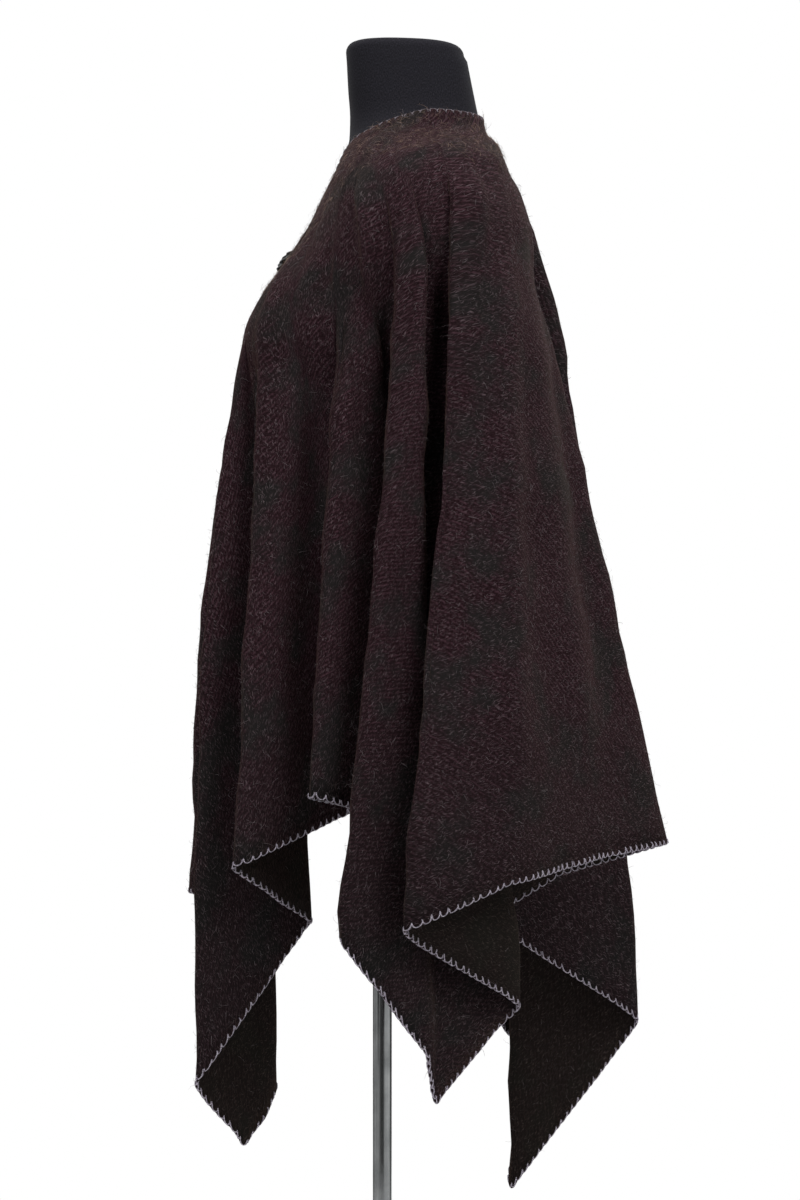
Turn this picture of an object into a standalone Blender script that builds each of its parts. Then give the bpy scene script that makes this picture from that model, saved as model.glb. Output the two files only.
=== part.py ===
"""A blanket poncho of felted wool twill, worn by a dress form on a chrome pole and a round base.

Metres, +Z up. The wearer faces -Y, so +X is the wearer's left.
The origin is the middle of the base's underside.
"""

import math
from typing import NamedTuple

import bmesh
import bpy
import numpy as np

# Cloth: one rectangle with a slit for the head, its edges worked in blanket stitch
WALL = 0.0025
CLOTH_GAP = 0.0020
FALL_GAP = 0.0060

# Neck slit: its foot on the chest, where it meets the neck, and how it opens between the two
SLIT_END = 1.247
NECK_FRONT = 1.378
SLIT_HALF_ANGLE = 33.0
SLIT_POWER = 0.75

# Dress form and stand
TRUNK_Y = 0.030
CAP_TOP = 1.495
CAP_TILT = 0.040
CAP_EDGE = 0.010
FORM_BOTTOM = 0.800
SQUARENESS = 2.3

# Bust: where each side is fullest, how far it stands out and how soon it dies away
BUST_HEIGHT = 1.182
BUST_ANGLE = 30.0
BUST_LIFT = 0.036
BUST_SPREAD_ANGLE = 17.0
BUST_SPREAD_HEIGHT = 0.036

# Stand, its pieces seated with a small gap
POLE_RADIUS = 0.010
BASE_RADIUS = 0.170
BASE_THICKNESS = 0.006
SOCKET_RADIUS = 0.034
SOCKET_THICKNESS = 0.006
SEAT = 0.0003

# Clasp at the foot of the neck slit
CLASP_HEIGHT = 1.271
CLASP_HALF_WIDTH = 0.016
CLASP_HALF_LENGTH = 0.013
CLASP_LOBES = 6
CLASP_LOBE_DEPTH = 0.09
CLASP_SEAT = 0.0005
CLASP_THICKNESS = 0.0060

# Clasp rings: share of its outline, share of its thickness
CLASP_RINGS = ((0.5, 0.0), (1.0, 0.0), (1.0, 0.30), (0.86, 0.62), (0.62, 0.70), (0.40, 0.82), (0.16, 1.0))

# Form sections: height, half width, reach to the front and to the back of the trunk axis
FORM_SECTIONS = (
    (1.500, 0.0560, 0.0680, 0.0540),
    (1.449, 0.0585, 0.0655, 0.0640),
    (1.420, 0.0610, 0.0635, 0.0700),
    (1.400, 0.0730, 0.0640, 0.0745),
    (1.387, 0.0950, 0.0660, 0.0860),
    (1.372, 0.1270, 0.0700, 0.0930),
    (1.356, 0.1530, 0.0760, 0.0990),
    (1.335, 0.1710, 0.0860, 0.1070),
    (1.305, 0.1800, 0.1005, 0.1160),
    (1.270, 0.1820, 0.1205, 0.1200),
    (1.230, 0.1760, 0.1400, 0.1200),
    (1.190, 0.1660, 0.1420, 0.1150),
    (1.130, 0.1480, 0.1300, 0.0990),
    (1.050, 0.1280, 0.1080, 0.0720),
    (0.970, 0.1320, 0.1020, 0.0720),
    (0.880, 0.1430, 0.1070, 0.0760),
    (0.800, 0.1400, 0.1020, 0.0740),
)

FORM_SIDES = 48

# Heights of the form's rings, closer where it curves: lowest ring of a stretch and spacing
FORM_RING_STRETCHES = (
    (FORM_BOTTOM, 0.008),
    (0.808, 0.040),
    (1.130, 0.020),
    (1.230, 0.025),
    (1.305, 0.0165),
    (1.338, 0.0115),
    (1.420, 0.025),
)
FORM_RING_TOP = 1.475

# Where the cloth leaves the form, by degrees round the trunk from the wearer's left
BREAK_HEIGHTS = (
    (-90, 1.200),
    (-62, 1.185),
    (-40, 1.250),
    (-20, 1.325),
    (0, 1.345),
    (20, 1.335),
    (50, 1.330),
    (90, 1.360),
)

# Neck edge beyond the slit, by the same degrees
NECK_HEIGHTS = (
    (-57, 1.378),
    (-35, 1.396),
    (-10, 1.411),
    (20, 1.4195),
    (45, 1.4190),
    (90, 1.4180),
)


class Fold(NamedTuple):
    """A turn of the cloth: its place at the hem and how it runs there from the trunk."""

    name: str
    x: float
    y: float
    z: float
    around: float
    """Degrees round the trunk where it starts."""
    spread: float
    """1 for a straight fall, more where it leaves the trunk fast and then hangs."""
    radius: float
    """Radius of the turn at the hem."""
    bow: float
    """Swell away from the trunk, most a little below the start."""


# Folds from the middle of the front by the wearer's left to the back and round
FOLDS = (
    Fold("front_middle", 0.000, -0.186, 0.632, -90, 2.4, 0.060, 0.000),
    Fold("front_left_ridge", 0.092, -0.187, 0.622, -83, 2.6, 0.010, 0.000),
    Fold("front_left_hollow", 0.050, -0.112, 0.575, -79, 2.0, 0.008, 0.000),
    Fold("inner_left_ridge", 0.122, -0.180, 0.500, -75, 2.2, 0.008, 0.000),
    Fold("inner_left_hollow", 0.092, -0.108, 0.430, -71, 2.0, 0.007, 0.000),
    Fold("front_left_corner", 0.130, -0.136, 0.375, -68, 2.0, 0.030, 0.003),
    Fold("corner_left_ridge", 0.170, -0.181, 0.444, -64, 2.6, 0.009, 0.004),
    Fold("chest_hollow", 0.135, -0.073, 0.595, -59, 1.5, 0.009, 0.000),
    Fold("chest_ridge", 0.245, -0.138, 0.664, -52, 1.1, 0.009, -0.004),
    Fold("arm_front_hollow", 0.160, -0.024, 0.710, -30, 1.0, 0.009, 0.000),
    Fold("arm_front_ridge", 0.262, -0.065, 0.731, -24, 1.1, 0.008, 0.004),
    Fold("arm_hollow", 0.172, 0.036, 0.694, -18, 1.1, 0.010, 0.000),
    Fold("arm_ridge", 0.305, -0.036, 0.594, -8, 1.15, 0.009, 0.007),
    Fold("corner_back_bend", 0.262, 0.042, 0.485, -3, 1.2, 0.030, 0.010),
    Fold("back_left_corner", 0.235, 0.054, 0.434, 1, 1.2, 0.030, 0.004),
    Fold("arm_back_hollow", 0.185, 0.134, 0.517, 8, 1.2, 0.009, 0.000),
    Fold("arm_back_ridge", 0.330, 0.024, 0.611, 15, 1.2, 0.009, 0.014),
    Fold("back_left_bend", 0.275, 0.123, 0.648, 32, 1.1, 0.060, 0.014),
    Fold("back_left_swell", 0.135, 0.218, 0.662, 55, 1.0, 0.080, 0.008),
    Fold("back_middle_ridge", 0.020, 0.295, 0.668, 78, 0.93, 0.014, 0.004),
    Fold("back_right_swell", -0.060, 0.188, 0.628, 96, 1.0, 0.030, 0.004),
    Fold("back_right_hollow", -0.070, 0.115, 0.580, 108, 1.0, 0.010, 0.002),
    Fold("back_right_ridge", -0.190, 0.280, 0.454, 120, 1.25, 0.010, 0.024),
    Fold("back_right_corner", -0.200, 0.142, 0.269, 138, 1.4, 0.008, 0.004),
    Fold("side_back_ridge", -0.275, 0.150, 0.420, 150, 1.3, 0.009, 0.000),
    Fold("side_back_hollow", -0.185, 0.085, 0.530, 159, 1.2, 0.009, 0.000),
    Fold("arm_back_ridge_r", -0.315, 0.065, 0.600, 168, 1.2, 0.009, 0.000),
    Fold("arm_back_hollow_r", -0.175, 0.015, 0.670, 176, 1.1, 0.009, 0.000),
    Fold("arm_ridge_r", -0.310, -0.020, 0.722, 184, 1.1, 0.009, 0.000),
    Fold("arm_hollow_r", -0.170, -0.045, 0.715, 193, 1.1, 0.009, 0.000),
    Fold("arm_front_ridge_r", -0.275, -0.115, 0.680, 207, 1.1, 0.009, 0.000),
    Fold("chest_hollow_r", -0.130, -0.122, 0.600, 226, 1.2, 0.009, 0.000),
    Fold("chest_ridge_r", -0.205, -0.185, 0.500, 238, 1.6, 0.009, 0.000),
    Fold("front_right_corner", -0.140, -0.168, 0.405, 244, 1.9, 0.030, 0.000),
    Fold("inner_right_hollow", -0.085, -0.128, 0.455, 249, 2.0, 0.008, 0.000),
    Fold("inner_right_ridge", -0.120, -0.192, 0.530, 254, 2.2, 0.009, 0.000),
    Fold("front_right_hollow", -0.045, -0.135, 0.590, 259, 2.2, 0.008, 0.000),
    Fold("front_right_ridge", -0.070, -0.192, 0.630, 263, 2.5, 0.010, 0.000),
)

# Share of the way to the next fold over which a turn is rounded where it starts
TURN_SHARE = 0.30
# Below 1 the swell is greatest in the upper part of the fall
BOW_PEAK = 0.45

# Rows of the cloth on the trunk and below it, crowded where the form is most curved
YOKE_ROWS = 9
SKIRT_ROWS = 9
ROW_CROWDING = 0.85
FALL_CROWDING = 1.5

# Columns on a flat stretch between two turns, and one more for each of these degrees
LEG_STEPS = 2
TURN_PER_COLUMN = 11.0

COLOURS = {
    "poncho": ((0.026, 0.017, 0.019), 0.95, 0.0),
    "form": ((0.020, 0.020, 0.024), 0.80, 0.0),
    "chrome": ((0.60, 0.61, 0.62), 0.15, 1.0),
    "clasp": ((0.008, 0.008, 0.008), 0.35, 0.0),
}


def smooth_table(keys, values, at):
    """Cubic interpolation that keeps the table's rises and falls."""
    keys = np.asarray(keys, float)
    values = np.asarray(values, float)
    steps = np.diff(keys)
    slopes = np.diff(values) / steps
    tangents = np.zeros(len(keys))
    rising = slopes[:-1] * slopes[1:] > 0
    inner = np.zeros(len(keys) - 2)
    inner[rising] = 2 * slopes[:-1][rising] * slopes[1:][rising] / (slopes[:-1] + slopes[1:])[rising]
    tangents[1:-1] = inner
    tangents[0], tangents[-1] = slopes[0], slopes[-1]
    at = np.clip(np.asarray(at, float), keys[0], keys[-1])
    place = np.clip(np.searchsorted(keys, at, side="right") - 1, 0, len(keys) - 2)
    step = steps[place]
    t = (at - keys[place]) / step
    start = (1 + 2 * t) * (1 - t) ** 2 * values[place] + t * (1 - t) ** 2 * step * tangents[place]
    end = t * t * (3 - 2 * t) * values[place + 1] + t * t * (t - 1) * step * tangents[place + 1]
    return start + end


def half_turn(degrees):
    """Degrees round the trunk folded onto the wearer's left half, from -90 in front to 90 behind."""
    turned = np.mod(np.asarray(degrees, float) + 90, 360) - 90
    return np.where(turned > 90, 180 - turned, turned)


def form_radius(degrees, height):
    """Distance of the form's surface from the trunk axis."""
    degrees, height = np.broadcast_arrays(np.asarray(degrees, float), np.asarray(height, float))
    rows = sorted(FORM_SECTIONS)
    heights = [row[0] for row in rows]
    half_width, front, back = (smooth_table(heights, [row[i] for row in rows], height) for i in (1, 2, 3))
    folded = half_turn(degrees)
    angle = np.radians(folded)
    reach = np.where(folded < 0, front, back)
    across = np.abs(np.cos(angle)) / half_width
    along = np.abs(np.sin(angle)) / reach
    radius = (across**SQUARENESS + along**SQUARENESS) ** (-1 / SQUARENESS)
    off_bust = (folded + 90 - BUST_ANGLE) / BUST_SPREAD_ANGLE
    other_bust = (folded + 90 + BUST_ANGLE) / BUST_SPREAD_ANGLE
    rise = np.exp(-0.5 * off_bust**2) + np.exp(-0.5 * other_bust**2)
    level = np.exp(-0.5 * ((height - BUST_HEIGHT) / BUST_SPREAD_HEIGHT) ** 2)
    return radius + BUST_LIFT * rise * level


def cloth_radius(degrees, height, gap):
    """Distance from the trunk axis to the middle of a wall that keeps the gap, square to the form."""
    step = 0.004
    slope = (form_radius(degrees, height + step) - form_radius(degrees, height - step)) / (2 * step)
    return form_radius(degrees, height) + (gap + WALL / 2) * np.sqrt(1 + np.minimum(slope**2, 9))


def neck_height(degrees):
    """Height of the neck edge: a slit that opens to a V in front, then round the neck."""
    folded = half_turn(degrees)
    beside_slit = folded + 90
    share = np.clip(beside_slit / SLIT_HALF_ANGLE, 0, 1) ** SLIT_POWER
    slit = SLIT_END + (NECK_FRONT - SLIT_END) * share
    table = smooth_table([row[0] for row in NECK_HEIGHTS], [row[1] for row in NECK_HEIGHTS], folded)
    return np.where(beside_slit < SLIT_HALF_ANGLE, slit, table)


def break_height(degrees):
    """Height at which the cloth leaves the form."""
    keys = [row[0] for row in BREAK_HEIGHTS]
    return smooth_table(keys, [row[1] for row in BREAK_HEIGHTS], half_turn(degrees))


def catmull_rom(before, start, end, after, t):
    """A point on the centripetal curve from start to end."""
    knots = [0.0]
    for a, b in ((before, start), (start, end), (end, after)):
        knots.append(knots[-1] + max(np.linalg.norm(b[:3] - a[:3]), 1e-6) ** 0.5)
    k0, k1, k2, k3 = knots
    k = k1 + t * (k2 - k1)
    a1 = (k1 - k) / (k1 - k0) * before + (k - k0) / (k1 - k0) * start
    a2 = (k2 - k) / (k2 - k1) * start + (k - k1) / (k2 - k1) * end
    a3 = (k3 - k) / (k3 - k2) * end + (k - k2) / (k3 - k2) * after
    b1 = (k2 - k) / (k2 - k0) * a1 + (k - k0) / (k2 - k0) * a2
    b2 = (k3 - k) / (k3 - k1) * a2 + (k - k1) / (k3 - k1) * a3
    return (k2 - k) / (k2 - k1) * b1 + (k - k1) / (k2 - k1) * b2


def turn_side(tip, towards, away, radius):
    """Where a round turn at the tip meets the leg that runs towards the next turn."""
    one = (towards[:2] - tip[:2]) / np.linalg.norm(towards[:2] - tip[:2])
    other = (away[:2] - tip[:2]) / np.linalg.norm(away[:2] - tip[:2])
    inward = one + other
    across = one - other
    width = np.linalg.norm(across)
    swing = math.pi / 2 - math.asin(min(width / 2, 1))
    reach = radius * math.sin(swing)
    depth = radius * (1 - math.cos(swing))
    if np.linalg.norm(inward) > 1e-6:
        inward = inward / np.linalg.norm(inward)
    moved = inward * depth + across / width * max(reach, 0.3 * radius)
    leg = np.linalg.norm(towards[:2] - tip[:2])
    share = min(np.linalg.norm(moved) / leg, 0.45)
    side = tip + (towards - tip) * share
    side[:2] = tip[:2] + moved * min(1, 0.45 * leg / np.linalg.norm(moved))
    side[3] = tip[3] + (towards[3] - tip[3]) * TURN_SHARE
    return side


def hem_columns(turn_steps, leg_steps):
    """Columns round the hem: place, degrees, spread and bow of each, every turn of the table rounded."""
    rows = [np.array([row.x, row.y, row.z, row.around, row.spread, row.bow]) for row in FOLDS]
    count = len(rows)
    knots = []
    steps = []
    for i, row in enumerate(rows):
        previous = rows[i - 1].copy()
        following = rows[(i + 1) % count].copy()
        if i == 0:
            previous[3] -= 360
        if i == count - 1:
            following[3] += 360
        radius = FOLDS[i].radius
        knots.append(turn_side(row, previous, following, radius))
        knots.append(row)
        knots.append(turn_side(row, following, previous, radius))
        steps += [turn_steps, turn_steps, leg_steps]
    columns = []
    total = len(knots)
    for i in range(total):
        following = knots[(i + 1) % total][3] + 360 * ((i + 1) // total)
        steps[i] += int((following - knots[i][3]) // TURN_PER_COLUMN)
        four = []
        for j in (i - 1, i, i + 1, i + 2):
            knot = knots[j % total].copy()
            knot[3] += 360 * (j // total)
            four.append(knot)
        for step in range(steps[i]):
            columns.append(catmull_rom(*four, step / steps[i]))
    return np.array(columns)


def clear_of_form(points, gap):
    """The points moved out where they would lie in the form or closer to it than the gap."""
    x, y, z = points[..., 0], points[..., 1] - TRUNK_Y, points[..., 2]
    degrees = np.degrees(np.arctan2(y, x))
    radius = np.hypot(x, y)
    least = cloth_radius(degrees, np.maximum(z, FORM_BOTTOM + 0.004), gap)
    beyond = radius - least
    ease = 0.008
    eased = np.where(beyond < ease, ease * np.exp(np.minimum(beyond - ease, 0) / ease), beyond)
    below = np.clip((FORM_BOTTOM - z) / 0.10, 0, 1)
    kept = radius * below + (least + eased) * (1 - below)
    scale = np.where(beyond < ease, kept / np.maximum(radius, 1e-6), 1.0)
    moved = points.copy()
    moved[..., 0] = x * scale
    moved[..., 1] = y * scale + TRUNK_Y
    return moved


def cloth_grid(turn_steps, leg_steps, yoke_rows, skirt_rows):
    """The middle of the cloth as a grid: one row from neck to hem for each column round the hem."""
    columns = hem_columns(turn_steps, leg_steps)
    hem, degrees = columns[:, :3], columns[:, 3]
    spread, bow = columns[:, 4:5], columns[:, 5:6]
    angle = np.radians(degrees)[:, None]
    top = neck_height(degrees)[:, None]
    leave = break_height(degrees)[:, None]
    leave = np.minimum(leave, top - 0.035)
    share = np.linspace(0, 1, yoke_rows + 1)[None, :]
    height = top + (leave - top) * share**ROW_CROWDING
    radius = cloth_radius(degrees[:, None], height, CLOTH_GAP)
    yoke = np.stack([radius * np.cos(angle), radius * np.sin(angle) + TRUNK_Y, height], axis=2)
    start = yoke[:, -1:, :]
    fall = ((np.arange(1, skirt_rows + 1) / skirt_rows) ** FALL_CROWDING)[None, :]
    plan = 1 - (1 - fall) ** spread
    skirt = np.empty((len(hem), skirt_rows, 3))
    for axis in (0, 1):
        skirt[:, :, axis] = start[:, :, axis] + (hem[:, axis : axis + 1] - start[:, :, axis]) * plan
    skirt[:, :, 2] = start[:, :, 2] + (hem[:, 2:3] - start[:, :, 2]) * fall
    swell = bow * np.sin(math.pi * fall**BOW_PEAK)
    skirt[:, :, 0] += np.cos(angle) * swell
    skirt[:, :, 1] += np.sin(angle) * swell
    gap = CLOTH_GAP + (FALL_GAP - CLOTH_GAP) * np.minimum(fall * 5, 1)
    return np.concatenate([yoke, clear_of_form(skirt, gap)], axis=1)


def clear_scene():
    """Removes what the start-up file holds."""
    for obj in list(bpy.data.objects):
        bpy.data.objects.remove(obj)


def material(name):
    """A plain finish from the colour table."""
    colour, roughness, metallic = COLOURS[name]
    made = bpy.data.materials.new(name)
    made.use_nodes = True
    shader = made.node_tree.nodes["Principled BSDF"]
    shader.inputs["Base Color"].default_value = (*colour, 1)
    shader.inputs["Roughness"].default_value = roughness
    shader.inputs["Metallic"].default_value = metallic
    return made


def add_mesh(name, mesh, collection, finish, smooth_angle=40):
    """The mesh as an object of the collection, smooth but for its edges."""
    obj = bpy.data.objects.new(name, mesh)
    collection.objects.link(obj)
    mesh.materials.append(finish)
    mesh.shade_smooth()
    mesh.set_sharp_from_angle(angle=math.radians(smooth_angle))
    return obj


def ring_mesh(name, rings, close_ends):
    """A loft through closed rings of equally many points, the first and last ring filled if close_ends."""
    made = bmesh.new()
    loops = [[made.verts.new(point) for point in ring] for ring in rings]
    size = len(loops[0])
    for lower, upper in zip(loops, loops[1:]):
        for i in range(size):
            j = (i + 1) % size
            made.faces.new((lower[i], lower[j], upper[j], upper[i]))
    if close_ends:
        made.faces.new(list(reversed(loops[0])))
        made.faces.new(loops[-1])
    bmesh.ops.recalc_face_normals(made, faces=made.faces)
    mesh = bpy.data.meshes.new(name)
    made.to_mesh(mesh)
    made.free()
    return mesh


def build_poncho(collection, finish):
    """The cloth as one wall: a loft from hem to neck edge, thickened."""
    grid = cloth_grid(turn_steps=1, leg_steps=LEG_STEPS, yoke_rows=YOKE_ROWS, skirt_rows=SKIRT_ROWS)
    rings = [grid[:, row, :] for row in range(grid.shape[1] - 1, -1, -1)]
    cloth = add_mesh("poncho", ring_mesh("poncho", rings, close_ends=False), collection, finish, 60)
    wall = cloth.modifiers.new("cloth thickness", "SOLIDIFY")
    wall.thickness = WALL
    wall.offset = 0
    wall.use_even_offset = False
    return cloth


def build_clasp(collection, finish):
    """A small lobed clasp, its underside made from the cloth's points moved out."""
    sides = 36
    turn = np.arange(sides) * 2 * math.pi / sides
    lobes = 1 + CLASP_LOBE_DEPTH * np.cos(CLASP_LOBES * turn)
    front = form_radius(-90, CLASP_HEIGHT)
    lean = (form_radius(-90, CLASP_HEIGHT - 0.01) - form_radius(-90, CLASP_HEIGHT + 0.01)) / 0.02
    rise = 1 / math.hypot(1, float(lean))
    rings = []
    for share, lift in CLASP_RINGS:
        across = CLASP_HALF_WIDTH * share * (1 + (lobes - 1) * share) * np.cos(turn)
        along = CLASP_HALF_LENGTH * share * (1 + (lobes - 1) * share) * np.sin(turn)
        degrees = -90 + np.degrees(across / front)
        height = CLASP_HEIGHT + along * rise
        knob = 1 + 0.18 * np.cos(CLASP_LOBES * turn) * (0.3 < share < 0.95)
        gap = CLOTH_GAP + WALL / 2 + CLASP_SEAT + CLASP_THICKNESS * lift * knob
        radius = cloth_radius(degrees, height, gap)
        angle = np.radians(degrees)
        rings.append(np.stack([radius * np.cos(angle), radius * np.sin(angle) + TRUNK_Y, height], axis=1))
    return add_mesh("neck_clasp", ring_mesh("neck_clasp", rings, True), collection, finish, 50)


def build_form(collection, finish):
    """The trunk and neck in one, lofted through the form sections, its neck top rounded and tilted."""
    degrees = np.arange(FORM_SIDES) * 360 / FORM_SIDES
    angle = np.radians(degrees)
    heights = []
    tops = [stretch[0] for stretch in FORM_RING_STRETCHES[1:]] + [FORM_RING_TOP]
    for (low, spacing), high in zip(FORM_RING_STRETCHES, tops):
        count = max(1, round((high - low) / spacing))
        heights += [low + (high - low) * i / count for i in range(count)]
    rings = []
    for height in heights:
        radius = form_radius(degrees, height)
        level = np.full(FORM_SIDES, height)
        rings.append(np.stack([radius * np.cos(angle), radius * np.sin(angle), level], axis=1))
    for drop, inset in ((CAP_EDGE, 0.0), (CAP_EDGE * 0.3, CAP_EDGE * 0.3), (0.0, CAP_EDGE)):
        radius = form_radius(degrees, CAP_TOP) - inset
        top = CAP_TOP - drop - CAP_TILT * radius * np.sin(angle)
        rings.append(np.stack([radius * np.cos(angle), radius * np.sin(angle), top], axis=1))
    shift = np.array([0, TRUNK_Y, 0])
    mesh = ring_mesh("form_torso", [ring + shift for ring in rings], True)
    return add_mesh("form_torso", mesh, collection, finish, 60)


def cylinder(name, radius, low, high, collection, finish, bevel=0.0, sides=32):
    """An upright round bar or disc from low to high on the pole's axis."""
    place = (0, 0, (low + high) / 2)
    bpy.ops.mesh.primitive_cylinder_add(vertices=sides, radius=radius, depth=high - low, location=place)
    obj = bpy.context.active_object
    obj.name = name
    for holder in list(obj.users_collection):
        holder.objects.unlink(obj)
    collection.objects.link(obj)
    obj.data.materials.append(finish)
    obj.data.shade_smooth()
    obj.data.set_sharp_from_angle(angle=math.radians(40))
    if bevel:
        edge = obj.modifiers.new("edge", "BEVEL")
        edge.width = bevel
        edge.segments = 2
        edge.limit_method = "ANGLE"
    return obj


def build_stand(collection, finish):
    """The base on the floor, the pole on it and the plate under the form."""
    cylinder("stand_base", BASE_RADIUS, 0, BASE_THICKNESS, collection, finish, bevel=0.002, sides=64)
    plate_top = FORM_BOTTOM - SEAT
    plate_low = plate_top - SOCKET_THICKNESS
    cylinder("stand_pole", POLE_RADIUS, BASE_THICKNESS + SEAT, plate_low - SEAT, collection, finish)
    cylinder("form_plate", SOCKET_RADIUS, plate_low, plate_top, collection, finish, bevel=0.0015)


def main():
    clear_scene()
    collection = bpy.data.collections.new("poncho_on_dress_form")
    bpy.context.scene.collection.children.link(collection)
    finishes = {name: material(name) for name in COLOURS}
    build_poncho(collection, finishes["poncho"])
    build_clasp(collection, finishes["clasp"])
    build_form(collection, finishes["form"])
    build_stand(collection, finishes["chrome"])


if __name__ == "__main__":
    main()
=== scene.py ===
"""Dresses the poncho on its dress form: felted wool cloth, its edge stitching and fuzz, the form and its stand.

Metres, +Z up. The wearer faces -Y, so +X is the wearer's left, and the camera stands there and looks along -X.
The origin is the middle of the base's underside.
"""

import sys

import logging
import math
from collections.abc import Sequence
from dataclasses import dataclass, field
from enum import Enum
from typing import Any, NamedTuple

import bpy
import numpy as np
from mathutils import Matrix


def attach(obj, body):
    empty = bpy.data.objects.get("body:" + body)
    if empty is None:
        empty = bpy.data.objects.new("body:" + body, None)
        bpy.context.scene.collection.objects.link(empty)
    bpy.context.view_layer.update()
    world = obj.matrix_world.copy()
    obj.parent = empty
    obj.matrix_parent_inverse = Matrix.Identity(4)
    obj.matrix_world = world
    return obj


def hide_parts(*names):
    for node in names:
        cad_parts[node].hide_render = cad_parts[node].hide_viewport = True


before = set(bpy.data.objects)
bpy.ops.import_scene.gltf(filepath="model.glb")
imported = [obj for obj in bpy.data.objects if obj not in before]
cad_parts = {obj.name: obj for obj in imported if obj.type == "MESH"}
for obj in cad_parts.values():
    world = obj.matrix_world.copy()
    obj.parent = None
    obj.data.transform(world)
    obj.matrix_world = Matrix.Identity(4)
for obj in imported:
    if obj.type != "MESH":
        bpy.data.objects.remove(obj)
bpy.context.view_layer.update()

log = logging.getLogger("poncho_scene")

Colour = tuple[float, float, float, float]
Points = np.ndarray
Tree = bpy.types.NodeTree
Socket = bpy.types.NodeSocket


# ---- Shader nodes ----


def linear(code: str) -> Colour:
    """The sRGB hex code as a linear colour.

    Args:
        code: six hex digits.

    Returns:
        Linear red, green and blue, and 1.
    """
    parts = [int(code[i : i + 2], 16) / 255 for i in (0, 2, 4)]
    red, green, blue = (c / 12.92 if c <= 0.04045 else ((c + 0.055) / 1.055) ** 2.4 for c in parts)
    return red, green, blue, 1.0


def fill(tree: Tree, node: bpy.types.Node, inputs: dict[Any, Any]) -> None:
    """Fills or links a node's inputs.

    Args:
        tree: the node tree it is in.
        node: the node.
        inputs: for each input, by name or number, a value or the socket it takes.
    """
    for key, value in inputs.items():
        if isinstance(value, Socket):
            tree.links.new(value, node.inputs[key])
        else:
            node.inputs[key].default_value = value


def add_node(tree: Tree, kind: str, inputs: dict[Any, Any] | None = None, **settings: Any) -> bpy.types.Node:
    """Adds a node with its settings and inputs.

    Args:
        tree: the node tree it goes in.
        kind: the node's type, without the word ShaderNode.
        inputs: for each input, by name or number, a value or the socket it takes.
        settings: the node's own properties.

    Returns:
        The new node.
    """
    node = tree.nodes.new("ShaderNode" + kind)
    for name, value in settings.items():
        setattr(node, name, value)
    fill(tree, node, inputs or {})
    return node


def calc(tree: Tree, operation: str, *values: Any) -> Socket:
    """The result of a sum on numbers and sockets."""
    return add_node(tree, "Math", dict(enumerate(values)), operation=operation).outputs[0]


def noise(tree: Tree, place: Socket, scale: float, detail: float, roughness: float = 0.5) -> Socket:
    """The height of noise with this many waves a metre."""
    inputs = {"Vector": place, "Scale": scale, "Detail": detail, "Roughness": roughness}
    return add_node(tree, "TexNoise", inputs).outputs["Fac"]


def span(tree: Tree, value: Socket, low: float, high: float, start: float = 0.0, end: float = 1.0) -> Socket:
    """The value carried over from between low and high to between start and end."""
    inputs = {"Value": value, "From Min": low, "From Max": high, "To Min": start, "To Max": end}
    return add_node(tree, "MapRange", inputs).outputs[0]


def mix(tree: Tree, share: Socket, one: Any, other: Any) -> Socket:
    """The first colour with this share of the other."""
    return add_node(tree, "Mix", {0: share, 6: one, 7: other}, data_type="RGBA").outputs[2]


def bump(tree: Tree, height: Socket, strength: float, distance: float) -> Socket:
    """The normal of a surface with this relief."""
    return add_node(tree, "Bump", {"Strength": strength, "Distance": distance, "Height": height}).outputs[0]


def ramp(tree: Tree, value: Socket, *stops: tuple[float, str | float]) -> Socket:
    """The colour at the value on a ramp.

    Args:
        tree: the node tree.
        value: the place on the ramp, from 0 to 1.
        stops: place of each stop, in order, and its hex code or level of grey.

    Returns:
        The ramp's colour.
    """
    node = add_node(tree, "ValToRGB", {"Fac": value})
    elements = node.color_ramp.elements
    while len(elements) < len(stops):
        elements.new(0.5)
    for element, (place, tone) in zip(elements, stops):
        element.position = place
        element.color = linear(tone) if isinstance(tone, str) else (tone, tone, tone, 1.0)
    return node.outputs["Color"]


# ---- Meshes ----


def deselect_all() -> None:
    """Leaves object mode with nothing selected."""
    if bpy.context.mode != "OBJECT":
        bpy.ops.object.mode_set(mode="OBJECT")
    bpy.ops.object.select_all(action="DESELECT")


def link(obj: bpy.types.Object) -> bpy.types.Object:
    """Puts an object in the scene."""
    bpy.context.scene.collection.objects.link(obj)
    return obj


def dress(obj: bpy.types.Object, *materials: bpy.types.Material) -> None:
    """Gives an object these materials alone.

    Args:
        obj: the object.
        materials: one for each of its slots.
    """
    obj.data.materials.clear()
    for material in materials:
        obj.data.materials.append(material)


def mesh_object(
    name: str, points: Points, faces: Sequence[Sequence[int]] | Points, places: Points | None = None
) -> bpy.types.Object:
    """An object from points and faces.

    Args:
        name: its name.
        points: its points, one row each.
        faces: the numbers of each face's points.
        places: where each point lies on its own UV map, in metres.

    Returns:
        The object, smooth all over.
    """
    mesh = bpy.data.meshes.new(name)
    mesh.from_pydata(points.tolist(), [], faces.tolist() if isinstance(faces, np.ndarray) else list(faces))
    if places is not None:
        layer = mesh.uv_layers.new(name="cut")
        corners = np.empty(len(mesh.loops), dtype=np.int32)
        mesh.loops.foreach_get("vertex_index", corners)
        layer.data.foreach_set("uv", places[corners].astype(np.float32).ravel())
    mesh.shade_smooth()
    return link(bpy.data.objects.new(name, mesh))


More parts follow.
